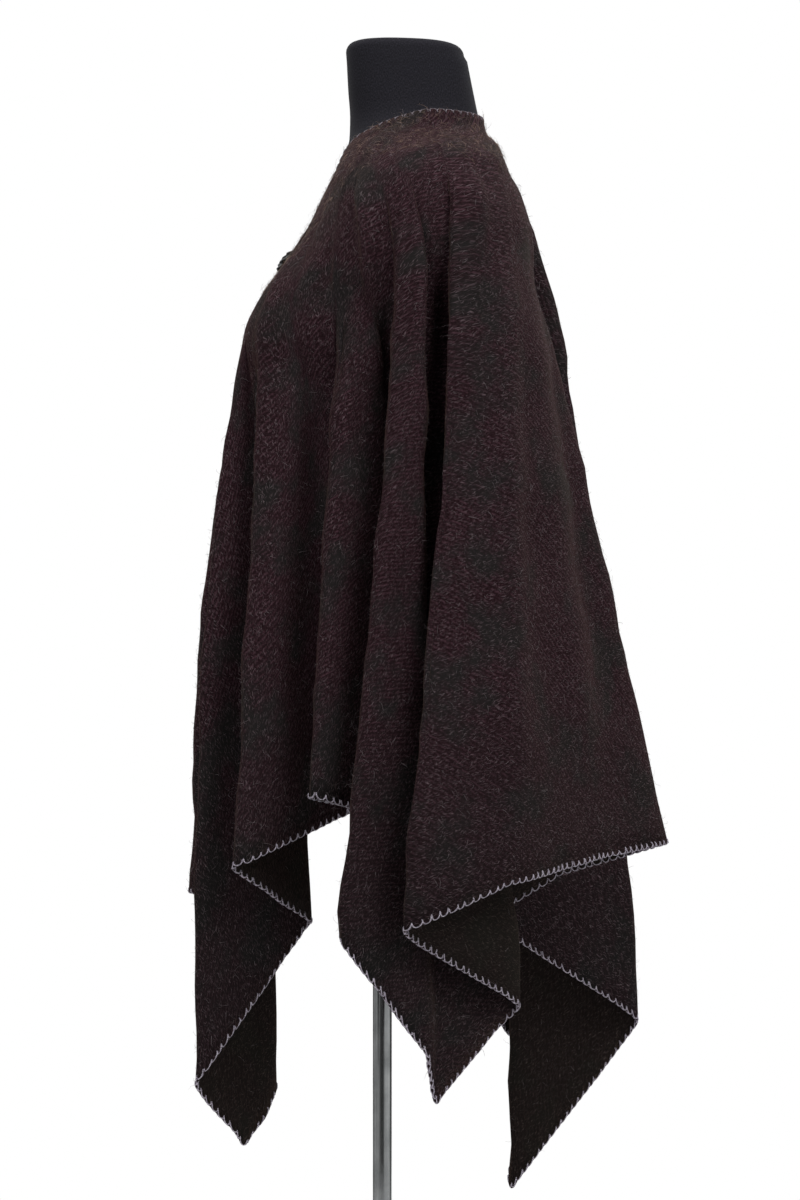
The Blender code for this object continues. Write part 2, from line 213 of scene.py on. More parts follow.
def even_normals(smooth_angle: float) -> None:
    """Turns the active mesh's faces outward and shades it smooth.

    Args:
        smooth_angle: degrees from which an edge stays sharp.
    """
    bpy.ops.object.mode_set(mode="EDIT")
    bpy.ops.mesh.select_all(action="SELECT")
    bpy.ops.mesh.normals_make_consistent(inside=False)
    bpy.ops.object.mode_set(mode="OBJECT")
    bpy.ops.object.shade_smooth_by_angle(angle=math.radians(smooth_angle))


def ring_stack(name: str, rings: Sequence[Points], smooth_angle: float) -> bpy.types.Object:
    """A closed body through rings of equally many points: a disc, extruded ring by ring and set on its outlines.

    Args:
        name: its name.
        rings: the points of each ring from the bottom to the top, counter-clockwise from +X.
        smooth_angle: degrees from which an edge stays sharp.

    Returns:
        The object.
    """
    sides = len(rings[0])
    deselect_all()
    bpy.ops.mesh.primitive_circle_add(vertices=sides, radius=1, fill_type="NGON", location=(0, 0, 0))
    obj = bpy.context.active_object
    obj.name = obj.data.name = name
    bpy.ops.object.mode_set(mode="EDIT")
    bpy.ops.mesh.select_all(action="SELECT")
    for _ in rings[1:]:
        bpy.ops.mesh.extrude_region_move(TRANSFORM_OT_translate={"value": (0, 0, 1)})
    bpy.ops.object.mode_set(mode="OBJECT")
    for vertex in obj.data.vertices:
        turn = math.atan2(vertex.co.y, vertex.co.x) / (2 * math.pi) * sides
        vertex.co = rings[round(vertex.co.z)][round(turn) % sides]
    even_normals(smooth_angle)
    return obj


# ---- Shapes ----


def bell(x: Points) -> Points:
    """A soft hump: 1 at 0, and nearly 0 beyond 3."""
    return np.exp(-0.5 * x**2)


def unit(vectors: Points) -> Points:
    """The vectors at length 1."""
    return vectors / np.maximum(np.linalg.norm(vectors, axis=-1, keepdims=True), 1e-9)


def lengths_along(points: Points) -> Points:
    """The length of the line through the points up to each of them."""
    return np.concatenate([[0], np.cumsum(np.linalg.norm(np.diff(points, axis=0), axis=1))])


def half_turn(degrees: Any) -> Points:
    """Degrees round the trunk folded onto the wearer's left half, from -90 in front to 90 behind."""
    turned = np.mod(np.asarray(degrees, float) + 90, 360) - 90
    return np.where(turned > 90, 180 - turned, turned)


def ripple(u: Points, v: Points, wavelength: float, seed: int) -> Points:
    """Smooth uneven waves over the flat cloth, from about -1 to 1.

    Args:
        u: places across the cloth, in metres.
        v: places along the cloth, in metres.
        wavelength: usual distance from crest to crest.
        seed: picks one set of waves.

    Returns:
        The height at each place.
    """
    dice = np.random.default_rng(seed)
    total = np.zeros(np.broadcast(u, v).shape)
    for _ in range(9):
        turn, phase = dice.uniform(0, 2 * math.pi, 2)
        length = wavelength * dice.uniform(0.75, 1.6)
        total += np.sin(2 * math.pi * (u * math.cos(turn) + v * math.sin(turn)) / length + phase)
    return total / 3


def smooth_table(rows: Sequence[Sequence[float]], at: Any, value: int = 1) -> Points:
    """Cubic interpolation that keeps the table's rises and falls.

    Args:
        rows: the table, each row a place and its values, the places rising.
        at: the places asked for.
        value: which column is asked for.

    Returns:
        The values there.
    """
    keys, values = np.array([row[0] for row in rows], float), np.array([row[value] for row in rows], float)
    steps = np.diff(keys)
    slopes = np.diff(values) / steps
    tangents = np.zeros(len(keys))
    rising = slopes[:-1] * slopes[1:] > 0
    inner = np.zeros(len(keys) - 2)
    inner[rising] = 2 * slopes[:-1][rising] * slopes[1:][rising] / (slopes[:-1] + slopes[1:])[rising]
    tangents[1:-1] = inner
    tangents[0], tangents[-1] = slopes[0], slopes[-1]
    at = np.clip(np.asarray(at, float), keys[0], keys[-1])
    place = np.clip(np.searchsorted(keys, at, side="right") - 1, 0, len(keys) - 2)
    step = steps[place]
    t = (at - keys[place]) / step
    start = (1 + 2 * t) * (1 - t) ** 2 * values[place] + t * (1 - t) ** 2 * step * tangents[place]
    end = t * t * (3 - 2 * t) * values[place + 1] + t * t * (t - 1) * step * tangents[place + 1]
    return start + end


# ---- Finishes ----


@dataclass(frozen=True)
class Finish:
    """A surface finish; each kind says what its shader takes."""

    name: str

    def inputs(self, tree: Tree) -> dict[str, Any]:
        """What the shader takes, with the nodes behind it in the tree."""
        raise NotImplementedError

    def material(self) -> bpy.types.Material:
        """The finish with its shader filled in.

        Returns:
            The material.
        """
        made = bpy.data.materials.new(self.name)
        made.use_nodes = True
        fill(made.node_tree, made.node_tree.nodes["Principled BSDF"], self.inputs(made.node_tree))
        return made


@dataclass(frozen=True)
class WoolTwill(Finish):
    """Wool twill, fulled and brushed: dark plum-brown heather with greenish-grey clouds and soft slanting ribs.

    The brushed nap hides most of the weave, so the ribs show as broken streaks, and pale hairs lie all over them.
    """

    name: str = "brushed_wool_twill"
    shade: str = "1e1114"
    body: str = "362328"
    light: str = "563d45"
    cloud: str = "282827"
    hair: str = "917e84"
    low: str = "1c1d1c"
    # What the lowest parts turn to: painted shade, darker and greyer than the shoulders.
    """What the lowest parts turn to: they are greyer and duller than the shoulders."""
    painted_shade_share: float = 0.52
    painted_shade_heights: tuple[float, float] = (0.86, 0.60)
    # Where the painted shade begins and where it is full.
    """Where the dulling begins and where it is full."""
    rib_pitch: float = 0.0046
    """Metres from rib to rib, measured on the photograph."""
    rib_across: tuple[float, float, float] = (-0.766, -0.643, 0)
    """Direction across the ribs on the flat cut."""
    cloud_size: float = 0.085
    fleck_size: float = 0.0016
    hair_length: float = 0.0060
    hair_width: float = 0.0008
    """A hair is 0.05 mm thick, too fine to show, so it is drawn this coarse."""
    hair_lies: tuple[tuple[float, float], ...] = ((34, 0.62), (118, 0.63))
    """Degrees of each set of lying hairs, and how high the noise must be to make one."""

    def streaks(self, tree: Tree, cut: Socket, degrees: float, least: float) -> Socket:
        """Hairs that lie one way.

        Args:
            tree: the material's nodes.
            cut: places on the flat cut.
            degrees: how the hairs lie.
            least: how high the noise must be to make a hair.

        Returns:
            1 on a hair and 0 elsewhere.
        """
        bent = add_node(tree, "TexNoise", {"Vector": cut, "Scale": 150.0, "Detail": 1.0})
        shift = add_node(tree, "VectorMath", {0: bent.outputs["Color"], "Scale": 0.006}, operation="SCALE")
        moved = add_node(tree, "VectorMath", {0: cut, 1: shift.outputs[0]}, operation="ADD")
        size = (1 / self.hair_length, 1 / self.hair_width, 1)
        turn = (0, 0, math.radians(degrees))
        turned = add_node(tree, "Mapping", {"Vector": moved.outputs[0], "Rotation": turn, "Scale": size})
        return span(tree, noise(tree, turned.outputs[0], 1.0, 1.0), least, least + 0.10)

    def inputs(self, tree: Tree) -> dict[str, Any]:
        """Heather colour, slanting ribs, pale hairs, and a soft sheen from the nap.

        Args:
            tree: the material's nodes.

        Returns:
            What the shader takes.
        """
        cut = add_node(tree, "UVMap", uv_map="cut").outputs["UV"]
        across = add_node(tree, "VectorMath", {0: cut, 1: self.rib_across}, operation="DOT_PRODUCT")
        swayed = calc(tree, "MULTIPLY_ADD", noise(tree, cut, 45.0, 2.0), 0.006, across.outputs["Value"])
        wave = calc(tree, "SINE", calc(tree, "MULTIPLY", swayed, 2 * math.pi / self.rib_pitch))
        breaks = span(tree, noise(tree, cut, 230.0, 1.0), 0.38, 0.60)
        streak = calc(tree, "MULTIPLY", span(tree, wave, -0.7, 0.9), breaks)
        height = calc(tree, "MULTIPLY_ADD", streak, 0.28, noise(tree, cut, 1 / self.fleck_size, 3.0, 0.65))
        heather = ramp(tree, height, (0.40, self.shade), (0.60, self.body), (0.86, self.light))
        cloudy = span(tree, noise(tree, cut, 1 / self.cloud_size, 4.0, 0.6), 0.49, 0.61, end=0.82)
        clouded = mix(tree, cloudy, heather, linear(self.cloud))
        place = add_node(tree, "SeparateXYZ", {0: add_node(tree, "TexCoord").outputs["Object"]})
        # painted shade: the cloth turns darker and greyer with height, from 0.86 m down to 0.60 m
        low = span(tree, place.outputs["Z"], *self.painted_shade_heights, end=self.painted_shade_share)
        shade_painted = mix(tree, low, clouded, linear(self.low))
        hairs = calc(tree, "MAXIMUM", *(self.streaks(tree, cut, *lie) for lie in self.hair_lies))
        return {
            "Base Color": mix(tree, calc(tree, "MULTIPLY", hairs, 0.55), shade_painted, linear(self.hair)),
            "Normal": bump(tree, calc(tree, "MULTIPLY_ADD", hairs, 0.35, height), 0.75, 0.0011),
            "Roughness": 0.94,
            "IOR": 1.54,
            "Specular IOR Level": 0.06,
            "Sheen Weight": 0.16,
            "Sheen Roughness": 0.28,
            "Sheen Tint": linear("c49c84"),
        }


# The inner face is less brushed and browner, and darker all over as painted shade
SHADED_WOOL_REVERSE = WoolTwill("wool_twill_reverse_painted_shade", "19110f", "2b2020", "40322f", "25241f", "6b5f5c", "252220")


@dataclass(frozen=True)
class WoolFuzz(Finish):
    """Single wool hairs brushed up from the cloth, paler than it and unevenly so."""

    name: str = "loose_wool_fuzz"
    dark: str = "3a2c30"
    pale: str = "a3969a"

    def inputs(self, tree: Tree) -> dict[str, Any]:
        """Hairs of uneven paleness.

        Args:
            tree: the material's nodes.

        Returns:
            What the shader takes.
        """
        mixed = noise(tree, add_node(tree, "TexCoord").outputs["Object"], 160.0, 1.0)
        colour = ramp(tree, mixed, (0.35, self.dark), (0.68, self.pale))
        return {"Base Color": colour, "Roughness": 0.8, "IOR": 1.54, "Sheen Weight": 0.2}


# The hairs round the neck are longer and sandy brown
COLLAR_WOOL = WoolFuzz("sandy_wool_fuzz", "54392f", "b3947f")


@dataclass(frozen=True)
class StitchYarn(Finish):
    """Plied yarn of pale lilac-grey: two strands twisted together, which shows as a slanting line of painted shade at
    each turn.
    """

    name: str = "plied_wool_yarn"
    shade: str = "5f5564"
    body: str = "ada0b4"
    light: str = "eae2ee"
    ply_pitch: float = 0.0016

    def inputs(self, tree: Tree) -> dict[str, Any]:
        """Two plies with painted shade as a dark line between them, and a little fluff.

        Args:
            tree: the material's nodes.

        Returns:
            What the shader takes.
        """
        along = add_node(tree, "UVMap", uv_map="cut").outputs["UV"]
        twist = (1 / self.ply_pitch, 1.0, 0)
        turn = add_node(tree, "VectorMath", {0: along, 1: twist}, operation="DOT_PRODUCT").outputs["Value"]
        wave = calc(tree, "SINE", calc(tree, "MULTIPLY", turn, 2 * math.pi))
        fluff = noise(tree, add_node(tree, "TexCoord").outputs["Object"], 320.0, 3.0, 0.7)
        # painted shade: the groove between the plies is drawn as a dark line
        mixed = calc(tree, "MULTIPLY_ADD", span(tree, wave, -1.0, 0.2), 0.5, fluff)
        return {
            "Base Color": ramp(tree, mixed, (0.50, self.shade), (0.80, self.body), (1.0, self.light)),
            "Normal": bump(tree, mixed, 0.6, 0.0003),
            "Roughness": 0.85,
            "IOR": 1.54,
            "Sheen Weight": 0.15,
        }


# The neck's yarn is half sunk in the nap
NECK_YARN = StitchYarn("plied_wool_yarn_in_nap", "2c2428", "6a6068", "b3a9b2")


@dataclass(frozen=True)
class FormJersey(Finish):
    """Black cotton jersey stretched over the form: matt, with fine upright wales and a little pale lint."""

    name: str = "black_cotton_jersey"
    shade: str = "201f24"
    body: str = "2c2b31"
    light: str = "393840"
    wale: float = 0.0024
    """A wale is 0.8 mm wide, too fine to show, so it is drawn three times as wide."""

    def inputs(self, tree: Tree) -> dict[str, Any]:
        """Upright wales with crossing rows, and lint.

        Args:
            tree: the material's nodes.

        Returns:
            What the shader takes.
        """
        cut = add_node(tree, "UVMap", uv_map="cut").outputs["UV"]
        parts = add_node(tree, "SeparateXYZ", {0: cut})
        waves = [
            calc(tree, "SINE", calc(tree, "MULTIPLY", parts.outputs[axis], 2 * math.pi / pitch))
            for axis, pitch in (("X", self.wale), ("Y", self.wale * 0.8))
        ]
        shaped = calc(tree, "MULTIPLY_ADD", calc(tree, "MULTIPLY", *waves), 0.10, noise(tree, cut, 520.0, 3.0))
        return {
            "Base Color": ramp(tree, shaped, (0.34, self.shade), (0.52, self.body), (0.74, self.light)),
            "Normal": bump(tree, shaped, 0.35, 0.0004),
            "Roughness": 0.9,
            "IOR": 1.53,
            "Specular IOR Level": 0.12,
            "Sheen Weight": 0.03,
            "Sheen Roughness": 0.4,
        }


@dataclass(frozen=True)
class PolishedChrome(Finish):
    """Bright chrome plate on steel: mirror-like, with faint upright polishing lines and a few dull smears."""

    name: str = "polished_chrome"
    body: str = "c9cbcc"
    dull: str = "8f9293"

    def inputs(self, tree: Tree) -> dict[str, Any]:
        """Mirror with faint lines and smears.

        Args:
            tree: the material's nodes.

        Returns:
            What the shader takes.
        """
        place = add_node(tree, "TexCoord").outputs["Object"]
        fine = add_node(tree, "Mapping", {"Vector": place, "Scale": (900, 900, 14)}).outputs[0]
        mixed = calc(tree, "MULTIPLY_ADD", noise(tree, fine, 1.0, 2.0), 0.5, noise(tree, place, 38.0, 4.0))
        return {
            "Base Color": ramp(tree, mixed, (0.45, self.body), (1.0, self.dull)),
            "Roughness": span(tree, mixed, 0.4, 1.0, 0.06, 0.22),
            "Metallic": 1.0,
        }


@dataclass(frozen=True)
class BlackenedMetal(Finish):
    """Cast metal lacquered black: satin, worn to a greyer tone on its high edges."""

    name: str = "black_lacquered_metal"
    body: str = "0e0d0e"
    worn: str = "34302f"

    def inputs(self, tree: Tree) -> dict[str, Any]:
        """Satin black with worn high places.

        Args:
            tree: the material's nodes.

        Returns:
            What the shader takes.
        """
        grain = noise(tree, add_node(tree, "TexCoord").outputs["Object"], 700.0, 3.0)
        high = span(tree, add_node(tree, "NewGeometry").outputs["Pointiness"], 0.50, 0.62)
        return {
            "Base Color": ramp(tree, calc(tree, "MULTIPLY", high, grain), (0.25, self.body), (0.8, self.worn)),
            "Normal": bump(tree, grain, 0.25, 0.0002),
            "Roughness": 0.42,
            "IOR": 1.5,
            "Specular IOR Level": 0.25,
        }


@dataclass(frozen=True)
class PalePaint(Finish):
    """Matt white paint on the studio floor, with a trace of roller texture."""

    name: str = "matt_white_paint"
    body: str = "efefef"
    shade: str = "e6e6e6"

    def inputs(self, tree: Tree) -> dict[str, Any]:
        """Almost even white."""
        grain = noise(tree, add_node(tree, "TexCoord").outputs["Object"], 260.0, 2.0)
        return {"Base Color": ramp(tree, grain, (0.3, self.shade), (0.7, self.body)), "Roughness": 0.8}


# ---- Dress form ----


@dataclass
class DressForm:
    """Trunk and neck in one under a jersey cover, lofted through its sections, the neck's top tilted and rounded."""

    trunk_y: float = 0.030
    cap_top: float = 1.495
    cap_tilt: float = 0.040
    cap_edge: float = 0.010
    bottom: float = 0.800
    bottom_edge: float = 0.004
    squareness: float = 2.3
    bust_height: float = 1.182
    bust_angle: float = 30.0
    bust_lift: float = 0.036
    bust_spread_angle: float = 17.0
    bust_spread_height: float = 0.036
    sides: int = 128
    spacing: float = 0.008
    cover_radius: float = 0.11
    """Metres a radian on the cover's UV map."""
    sections: tuple[tuple[float, float, float, float], ...] = (
        (0.8, 0.14, 0.102, 0.074), (0.88, 0.143, 0.107, 0.076), (0.97, 0.132, 0.102, 0.072),
        (1.05, 0.128, 0.108, 0.072), (1.13, 0.148, 0.13, 0.099), (1.19, 0.166, 0.142, 0.115),
        (1.23, 0.176, 0.14, 0.12), (1.27, 0.182, 0.1205, 0.12), (1.305, 0.18, 0.1005, 0.116),
        (1.335, 0.171, 0.086, 0.107), (1.356, 0.153, 0.076, 0.099), (1.372, 0.127, 0.07, 0.093),
        (1.387, 0.095, 0.066, 0.086), (1.4, 0.073, 0.064, 0.0745), (1.42, 0.061, 0.0635, 0.07),
        (1.449, 0.0585, 0.0655, 0.064), (1.5, 0.056, 0.068, 0.054),
    )
    """Height, half width, and reach to the front and to the back of the trunk's axis."""

    def radius(self, degrees: Any, height: Any) -> Points:
        """Distance of the form's surface from the trunk's axis.

        Args:
            degrees: round the trunk from the wearer's left.
            height: above the floor.

        Returns:
            The distance at each.
        """
        degrees, height = np.broadcast_arrays(np.asarray(degrees, float), np.asarray(height, float))
        half_width, front, back = (smooth_table(self.sections, height, value) for value in (1, 2, 3))
        folded = half_turn(degrees)
        angle = np.radians(folded)
        reach = np.where(folded < 0, front, back)
        across = np.abs(np.cos(angle)) / half_width
        along = np.abs(np.sin(angle)) / reach
        radius = (across**self.squareness + along**self.squareness) ** (-1 / self.squareness)
        rise = sum(bell((folded + 90 + side * self.bust_angle) / self.bust_spread_angle) for side in (-1, 1))
        return radius + self.bust_lift * rise * bell((height - self.bust_height) / self.bust_spread_height)

    def on_axis(self, radius: Points, degrees: Points, height: Any) -> Points:
        """Points from where they lie about the trunk's axis.

        Args:
            radius: distance from the axis.
            degrees: round the axis.
            height: above the floor.

        Returns:
            The points.
        """
        angle = np.radians(degrees)
        radius, angle, height = np.broadcast_arrays(radius, angle, np.asarray(height, float))
        return np.stack([radius * np.cos(angle), radius * np.sin(angle) + self.trunk_y, height], axis=-1)

    def rings(self) -> list[Points]:
        """The form's rings from its lower edge to the middle of the neck's top.

        Returns:
            One array of points a ring.
        """
        degrees = np.arange(self.sides) * 360 / self.sides
        rings = []
        for share in (1.0, 0.6, 0.2):
            inset = self.bottom_edge * share**2
            rings.append(self.on_axis(self.radius(degrees, self.bottom) - inset, degrees, self.bottom))
            rings[-1][:, 2] += self.bottom_edge * (1 - share)
        low, high = self.bottom + self.bottom_edge, self.cap_top - self.cap_edge - self.spacing
        count = round((high - low) / self.spacing)
        rings += [
            self.on_axis(self.radius(degrees, height), degrees, height) for height in np.linspace(low, high, count + 1)
        ]
        edge_turn = np.radians(np.linspace(0, 90, 7))
        caps = [(self.cap_edge * (1 - math.sin(a)), self.cap_edge * (1 - math.cos(a)), 1.0) for a in edge_turn]
        caps += [(0.0, self.cap_edge, share) for share in (0.8, 0.55, 0.3, 0.1)]
        for drop, inset, share in caps:
            radius = (self.radius(degrees, self.cap_top) - inset) * share
            rings.append(self.on_axis(radius, degrees, self.cap_top - drop))
            rings[-1][:, 2] -= self.cap_tilt * (rings[-1][:, 1] - self.trunk_y)
        return rings

    def build(self, finish: FormJersey) -> bpy.types.Object:
        """The form with its cover's places, in metres round and up.

        Args:
            finish: its cover.

        Returns:
            The object.
        """
        obj = ring_stack("form_body", self.rings(), 50)
        mesh = obj.data
        layer = mesh.uv_layers.new(name="cut")
        for polygon in mesh.polygons:
            turns = [
                math.atan2(mesh.vertices[v].co.y - self.trunk_y, mesh.vertices[v].co.x) for v in polygon.vertices
            ]
            crosses = max(turns) - min(turns) > math.pi
            for loop, turn in zip(polygon.loop_indices, turns):
                around = (turn + 2 * math.pi if crosses and turn < 0 else turn) * self.cover_radius
                layer.data[loop].uv = (around, mesh.vertices[mesh.loops[loop].vertex_index].co.z)
        dress(obj, finish.material())
        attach(obj, "root")
        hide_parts("form_torso")
        return obj


# ---- Cloth ----


class EdgeLine(NamedTuple):
    """An edge of the cloth that is worked in blanket stitch."""

    points: Points
    """Points along the edge."""
    inward: Points
    """The way from the edge into the cloth."""
    outward: Points
    """The way off the cloth's outer face."""


class Fold(NamedTuple):
    """A turn of the cloth: its place at the hem and how it runs there from the trunk."""

    name: str
    x: float
    y: float
    z: float
    around: float
    """Degrees round the trunk where it starts."""
    spread: float
    """1 for a straight fall, more where it leaves the trunk fast and then hangs."""
    radius: float
    """Radius of the turn at the hem."""
    bow: float = 0.0
    """Swell away from the trunk, most a little below the start."""


class Crease(NamedTuple):
    """A soft ridge or trough drawn on the cloth."""

    path: tuple[tuple[float, float], ...]
    """Its points: number of the fold, with parts for between folds, and share of the way from neck edge to hem."""
    rise: float
    """Metres, below 0 for a trough."""
    width: float


class Corner(Enum):
    """The corners of the cut, by the name of the fold that each makes."""

    FRONT_LEFT = "front_left_corner"
    BACK_LEFT = "back_left_corner"
    BACK_RIGHT = "back_right_corner"
    FRONT_RIGHT = "front_right_corner"


class Face(Enum):
    """The two faces of the cloth."""

    OUTER = 1
    INNER = -1


FOLDS = (
    Fold("front_middle", 0.0, -0.186, 0.632, -90, 2.4, 0.06),
    Fold("front_left_ridge", 0.092, -0.187, 0.622, -83, 2.6, 0.01),
    Fold("front_left_hollow", 0.05, -0.112, 0.575, -79, 2.0, 0.008),
    Fold("inner_left_ridge", 0.122, -0.18, 0.5, -75, 2.2, 0.008),
    Fold("inner_left_hollow", 0.092, -0.108, 0.43, -71, 2.0, 0.007),
    Fold("front_left_corner", 0.13, -0.136, 0.375, -68, 2.0, 0.03, 0.003),
    Fold("corner_left_ridge", 0.17, -0.181, 0.444, -64, 2.6, 0.009, 0.004),
    Fold("chest_hollow", 0.135, -0.073, 0.595, -59, 1.5, 0.009),
    Fold("chest_ridge", 0.245, -0.138, 0.664, -52, 1.1, 0.009, -0.004),
    Fold("arm_front_hollow", 0.16, -0.024, 0.71, -30, 1.0, 0.009),
    Fold("arm_front_ridge", 0.262, -0.065, 0.731, -24, 1.1, 0.008, 0.004),
    Fold("arm_hollow", 0.172, 0.036, 0.694, -18, 1.1, 0.01),
    Fold("arm_ridge", 0.305, -0.036, 0.594, -8, 1.15, 0.009, 0.007),
    Fold("corner_back_bend", 0.262, 0.042, 0.485, -3, 1.2, 0.03, 0.01),
    Fold("back_left_corner", 0.235, 0.054, 0.434, 1, 1.2, 0.03, 0.004),
    Fold("arm_back_hollow", 0.185, 0.134, 0.517, 8, 1.2, 0.009),
    Fold("arm_back_ridge", 0.33, 0.024, 0.611, 15, 1.2, 0.009, 0.014),
    Fold("back_left_bend", 0.275, 0.123, 0.648, 32, 1.1, 0.06, 0.014),
    Fold("back_left_swell", 0.135, 0.218, 0.662, 55, 1.0, 0.08, 0.008),
    Fold("back_middle_ridge", 0.02, 0.295, 0.668, 78, 0.93, 0.014, 0.004),
    Fold("back_right_swell", -0.06, 0.188, 0.628, 96, 1.0, 0.03, 0.004),
    Fold("back_right_hollow", -0.07, 0.115, 0.58, 108, 1.0, 0.01, 0.002),
    Fold("back_right_ridge", -0.19, 0.28, 0.454, 120, 1.25, 0.01, 0.024),
    Fold("back_right_corner", -0.2, 0.142, 0.269, 138, 1.4, 0.008, 0.004),
    Fold("side_back_ridge", -0.275, 0.15, 0.42, 150, 1.3, 0.009),
    Fold("side_back_hollow", -0.185, 0.085, 0.53, 159, 1.2, 0.009),
    Fold("arm_back_ridge_r", -0.315, 0.065, 0.6, 168, 1.2, 0.009),
    Fold("arm_back_hollow_r", -0.175, 0.015, 0.67, 176, 1.1, 0.009),
    Fold("arm_ridge_r", -0.31, -0.02, 0.722, 184, 1.1, 0.009),
    Fold("arm_hollow_r", -0.17, -0.045, 0.715, 193, 1.1, 0.009),
    Fold("arm_front_ridge_r", -0.275, -0.115, 0.68, 207, 1.1, 0.009),
    Fold("chest_hollow_r", -0.13, -0.122, 0.6, 226, 1.2, 0.009),
    Fold("chest_ridge_r", -0.205, -0.185, 0.5, 238, 1.6, 0.009),
    Fold("front_right_corner", -0.14, -0.168, 0.405, 244, 1.9, 0.03),
    Fold("inner_right_hollow", -0.085, -0.128, 0.455, 249, 2.0, 0.008),
    Fold("inner_right_ridge", -0.12, -0.192, 0.53, 254, 2.2, 0.009),
    Fold("front_right_hollow", -0.045, -0.135, 0.59, 259, 2.2, 0.008),
    Fold("front_right_ridge", -0.07, -0.192, 0.63, 263, 2.5, 0.01),
)

# Creases, from the middle of the front by the wearer's left to the back and round
CREASES = (
    Crease(((0.3, 0.3), (0.36, 0.62), (0.34, 0.92)), 0.003, 0.02),
    Crease(((1.35, 0.3), (1.2, 0.5)), -0.002, 0.011),
    Crease(((6.3, 0.22), (6.45, 0.36), (6.35, 0.6)), 0.0022, 0.014),
    Crease(((8.0, 0.14), (8.0, 0.24), (8.02, 0.38)), 0.0024, 0.013),
    Crease(((8.34, 0.14), (8.42, 0.36), (8.38, 0.7), (8.46, 0.97)), 0.0046, 0.017),
    Crease(((8.8, 0.26), (8.85, 0.45), (8.85, 0.65), (8.9, 0.9)), 0.0085, 0.03),
    # ridge from the top of the shoulder down before the arm, the valley in front of it and the deep groove behind
    Crease(
        (
            *((12.3, 0.08), (11.2, 0.125), (10.72, 0.165), (10.6, 0.226)),
            *((10.5, 0.31), (10.5, 0.39), (10.5, 0.6), (10.45, 0.84)),
        ),
        0.011,
        0.012,
    ),
    Crease(
        ((11.3, 0.08), (10.7, 0.115), (9.95, 0.158), (9.7, 0.217), (9.7, 0.314), (9.62, 0.4), (9.75, 0.52)),
        -0.0055,
        0.009,
    ),
    Crease(((11.5, 0.14), (11.3, 0.22), (11.3, 0.31), (11.3, 0.38), (11.3, 0.46)), -0.012, 0.0085),
    # ridge on the arm and the deep groove behind it
    Crease(((12.3, 0.14), (12.3, 0.21), (12.38, 0.29), (12.45, 0.4), (12.5, 0.55), (12.55, 0.72)), 0.0085, 0.011),
    Crease(((14.95, 0.2), (14.8, 0.25), (14.62, 0.3), (14.3, 0.38), (14.0, 0.47)), -0.009, 0.011),
    Crease(((16.25, 0.12), (16.1, 0.19), (16.0, 0.28), (15.95, 0.42)), 0.0085, 0.013),
    Crease(((14.1, 0.42), (13.8, 0.54), (13.55, 0.68)), -0.005, 0.012),
    Crease(((12.45, 0.62), (12.52, 0.76), (12.5, 0.95)), 0.003, 0.014),
    # the back panel's front edge turns in softly, then its swells
    Crease(((16.2, 0.12), (16.2, 0.3), (16.22, 0.6), (16.22, 0.92)), -0.007, 0.011),
    Crease(((16.42, 0.16), (16.46, 0.3), (16.52, 0.58), (16.44, 0.92)), -0.004, 0.018),
    Crease(((16.78, 0.18), (16.86, 0.4), (16.8, 0.7), (16.88, 0.98)), 0.0056, 0.024),
    Crease(((17.3, 0.12), (17.34, 0.34), (17.46, 0.72)), -0.005, 0.022),
    Crease(((17.7, 0.2), (17.82, 0.52), (17.76, 0.97)), 0.0056, 0.026),
    Crease(((18.35, 0.12), (18.44, 0.44), (18.4, 0.88)), -0.0044, 0.022),
    Crease(((18.78, 0.3), (18.72, 0.62), (18.8, 0.97)), 0.004, 0.02),
    Crease(((19.4, 0.16), (19.5, 0.4), (19.46, 0.76)), -0.0036, 0.018),
    Crease(((21.5, 0.14), (21.56, 0.4), (21.5, 0.8)), 0.0038, 0.018),
    Crease(((22.0, 0.09), (22.0, 0.17), (22.0, 0.3)), 0.006, 0.02),
    Crease(((22.45, 0.16), (22.52, 0.48), (22.48, 0.84)), -0.0034, 0.016),
    # the wearer's right side, folded much as the left
    Crease(((24.0, 0.14), (24.0, 0.22), (24.0, 0.38)), 0.005, 0.013),
    Crease(((25.0, 0.16), (25.0, 0.26), (25.0, 0.4)), -0.004, 0.01),
    Crease(((26.0, 0.14), (26.0, 0.26), (26.0, 0.46)), 0.0085, 0.013),
    Crease(((27.0, 0.15), (27.0, 0.26), (27.0, 0.42)), -0.006, 0.01),
    Crease(((28.05, 0.13), (28.0, 0.26), (28.0, 0.5)), 0.0095, 0.013),
    Crease(((29.0, 0.15), (29.0, 0.26), (29.0, 0.42)), -0.006, 0.01),
    Crease(((30.1, 0.13), (30.0, 0.26), (30.0, 0.46)), 0.007, 0.013),
    Crease(((30.5, 0.24), (30.55, 0.52), (30.5, 0.86)), 0.003, 0.015),
    Crease(((27.6, 0.05), (29.4, 0.09), (29.9, 0.16), (29.95, 0.25)), 0.0036, 0.011),
    Crease(((32.0, 0.2), (32.0, 0.3), (32.0, 0.44)), 0.0028, 0.013),
    Crease(((37.5, 0.28), (37.44, 0.56), (37.5, 0.9)), 0.0026, 0.018),
    # soft arcs over the shoulders
    Crease(((12.2, 0.085), (13.6, 0.1), (15.4, 0.092), (16.6, 0.07)), 0.0018, 0.009),
    Crease(((16.6, 0.09), (17.6, 0.12), (18.6, 0.1)), 0.0018, 0.012),
    Crease(((23.6, 0.08), (25.6, 0.1), (27.4, 0.09)), 0.0018, 0.01),
)

# Folds that hang a little further round in their upper part than straight between trunk and hem: fold, metres, reach
SWAYS = ((10.4, 0.013, 0.55), (12.1, 0.034, 0.65), (16.0, 0.010, 0.60), (24, -0.010, 0.60), (28, 0.012, 0.50))


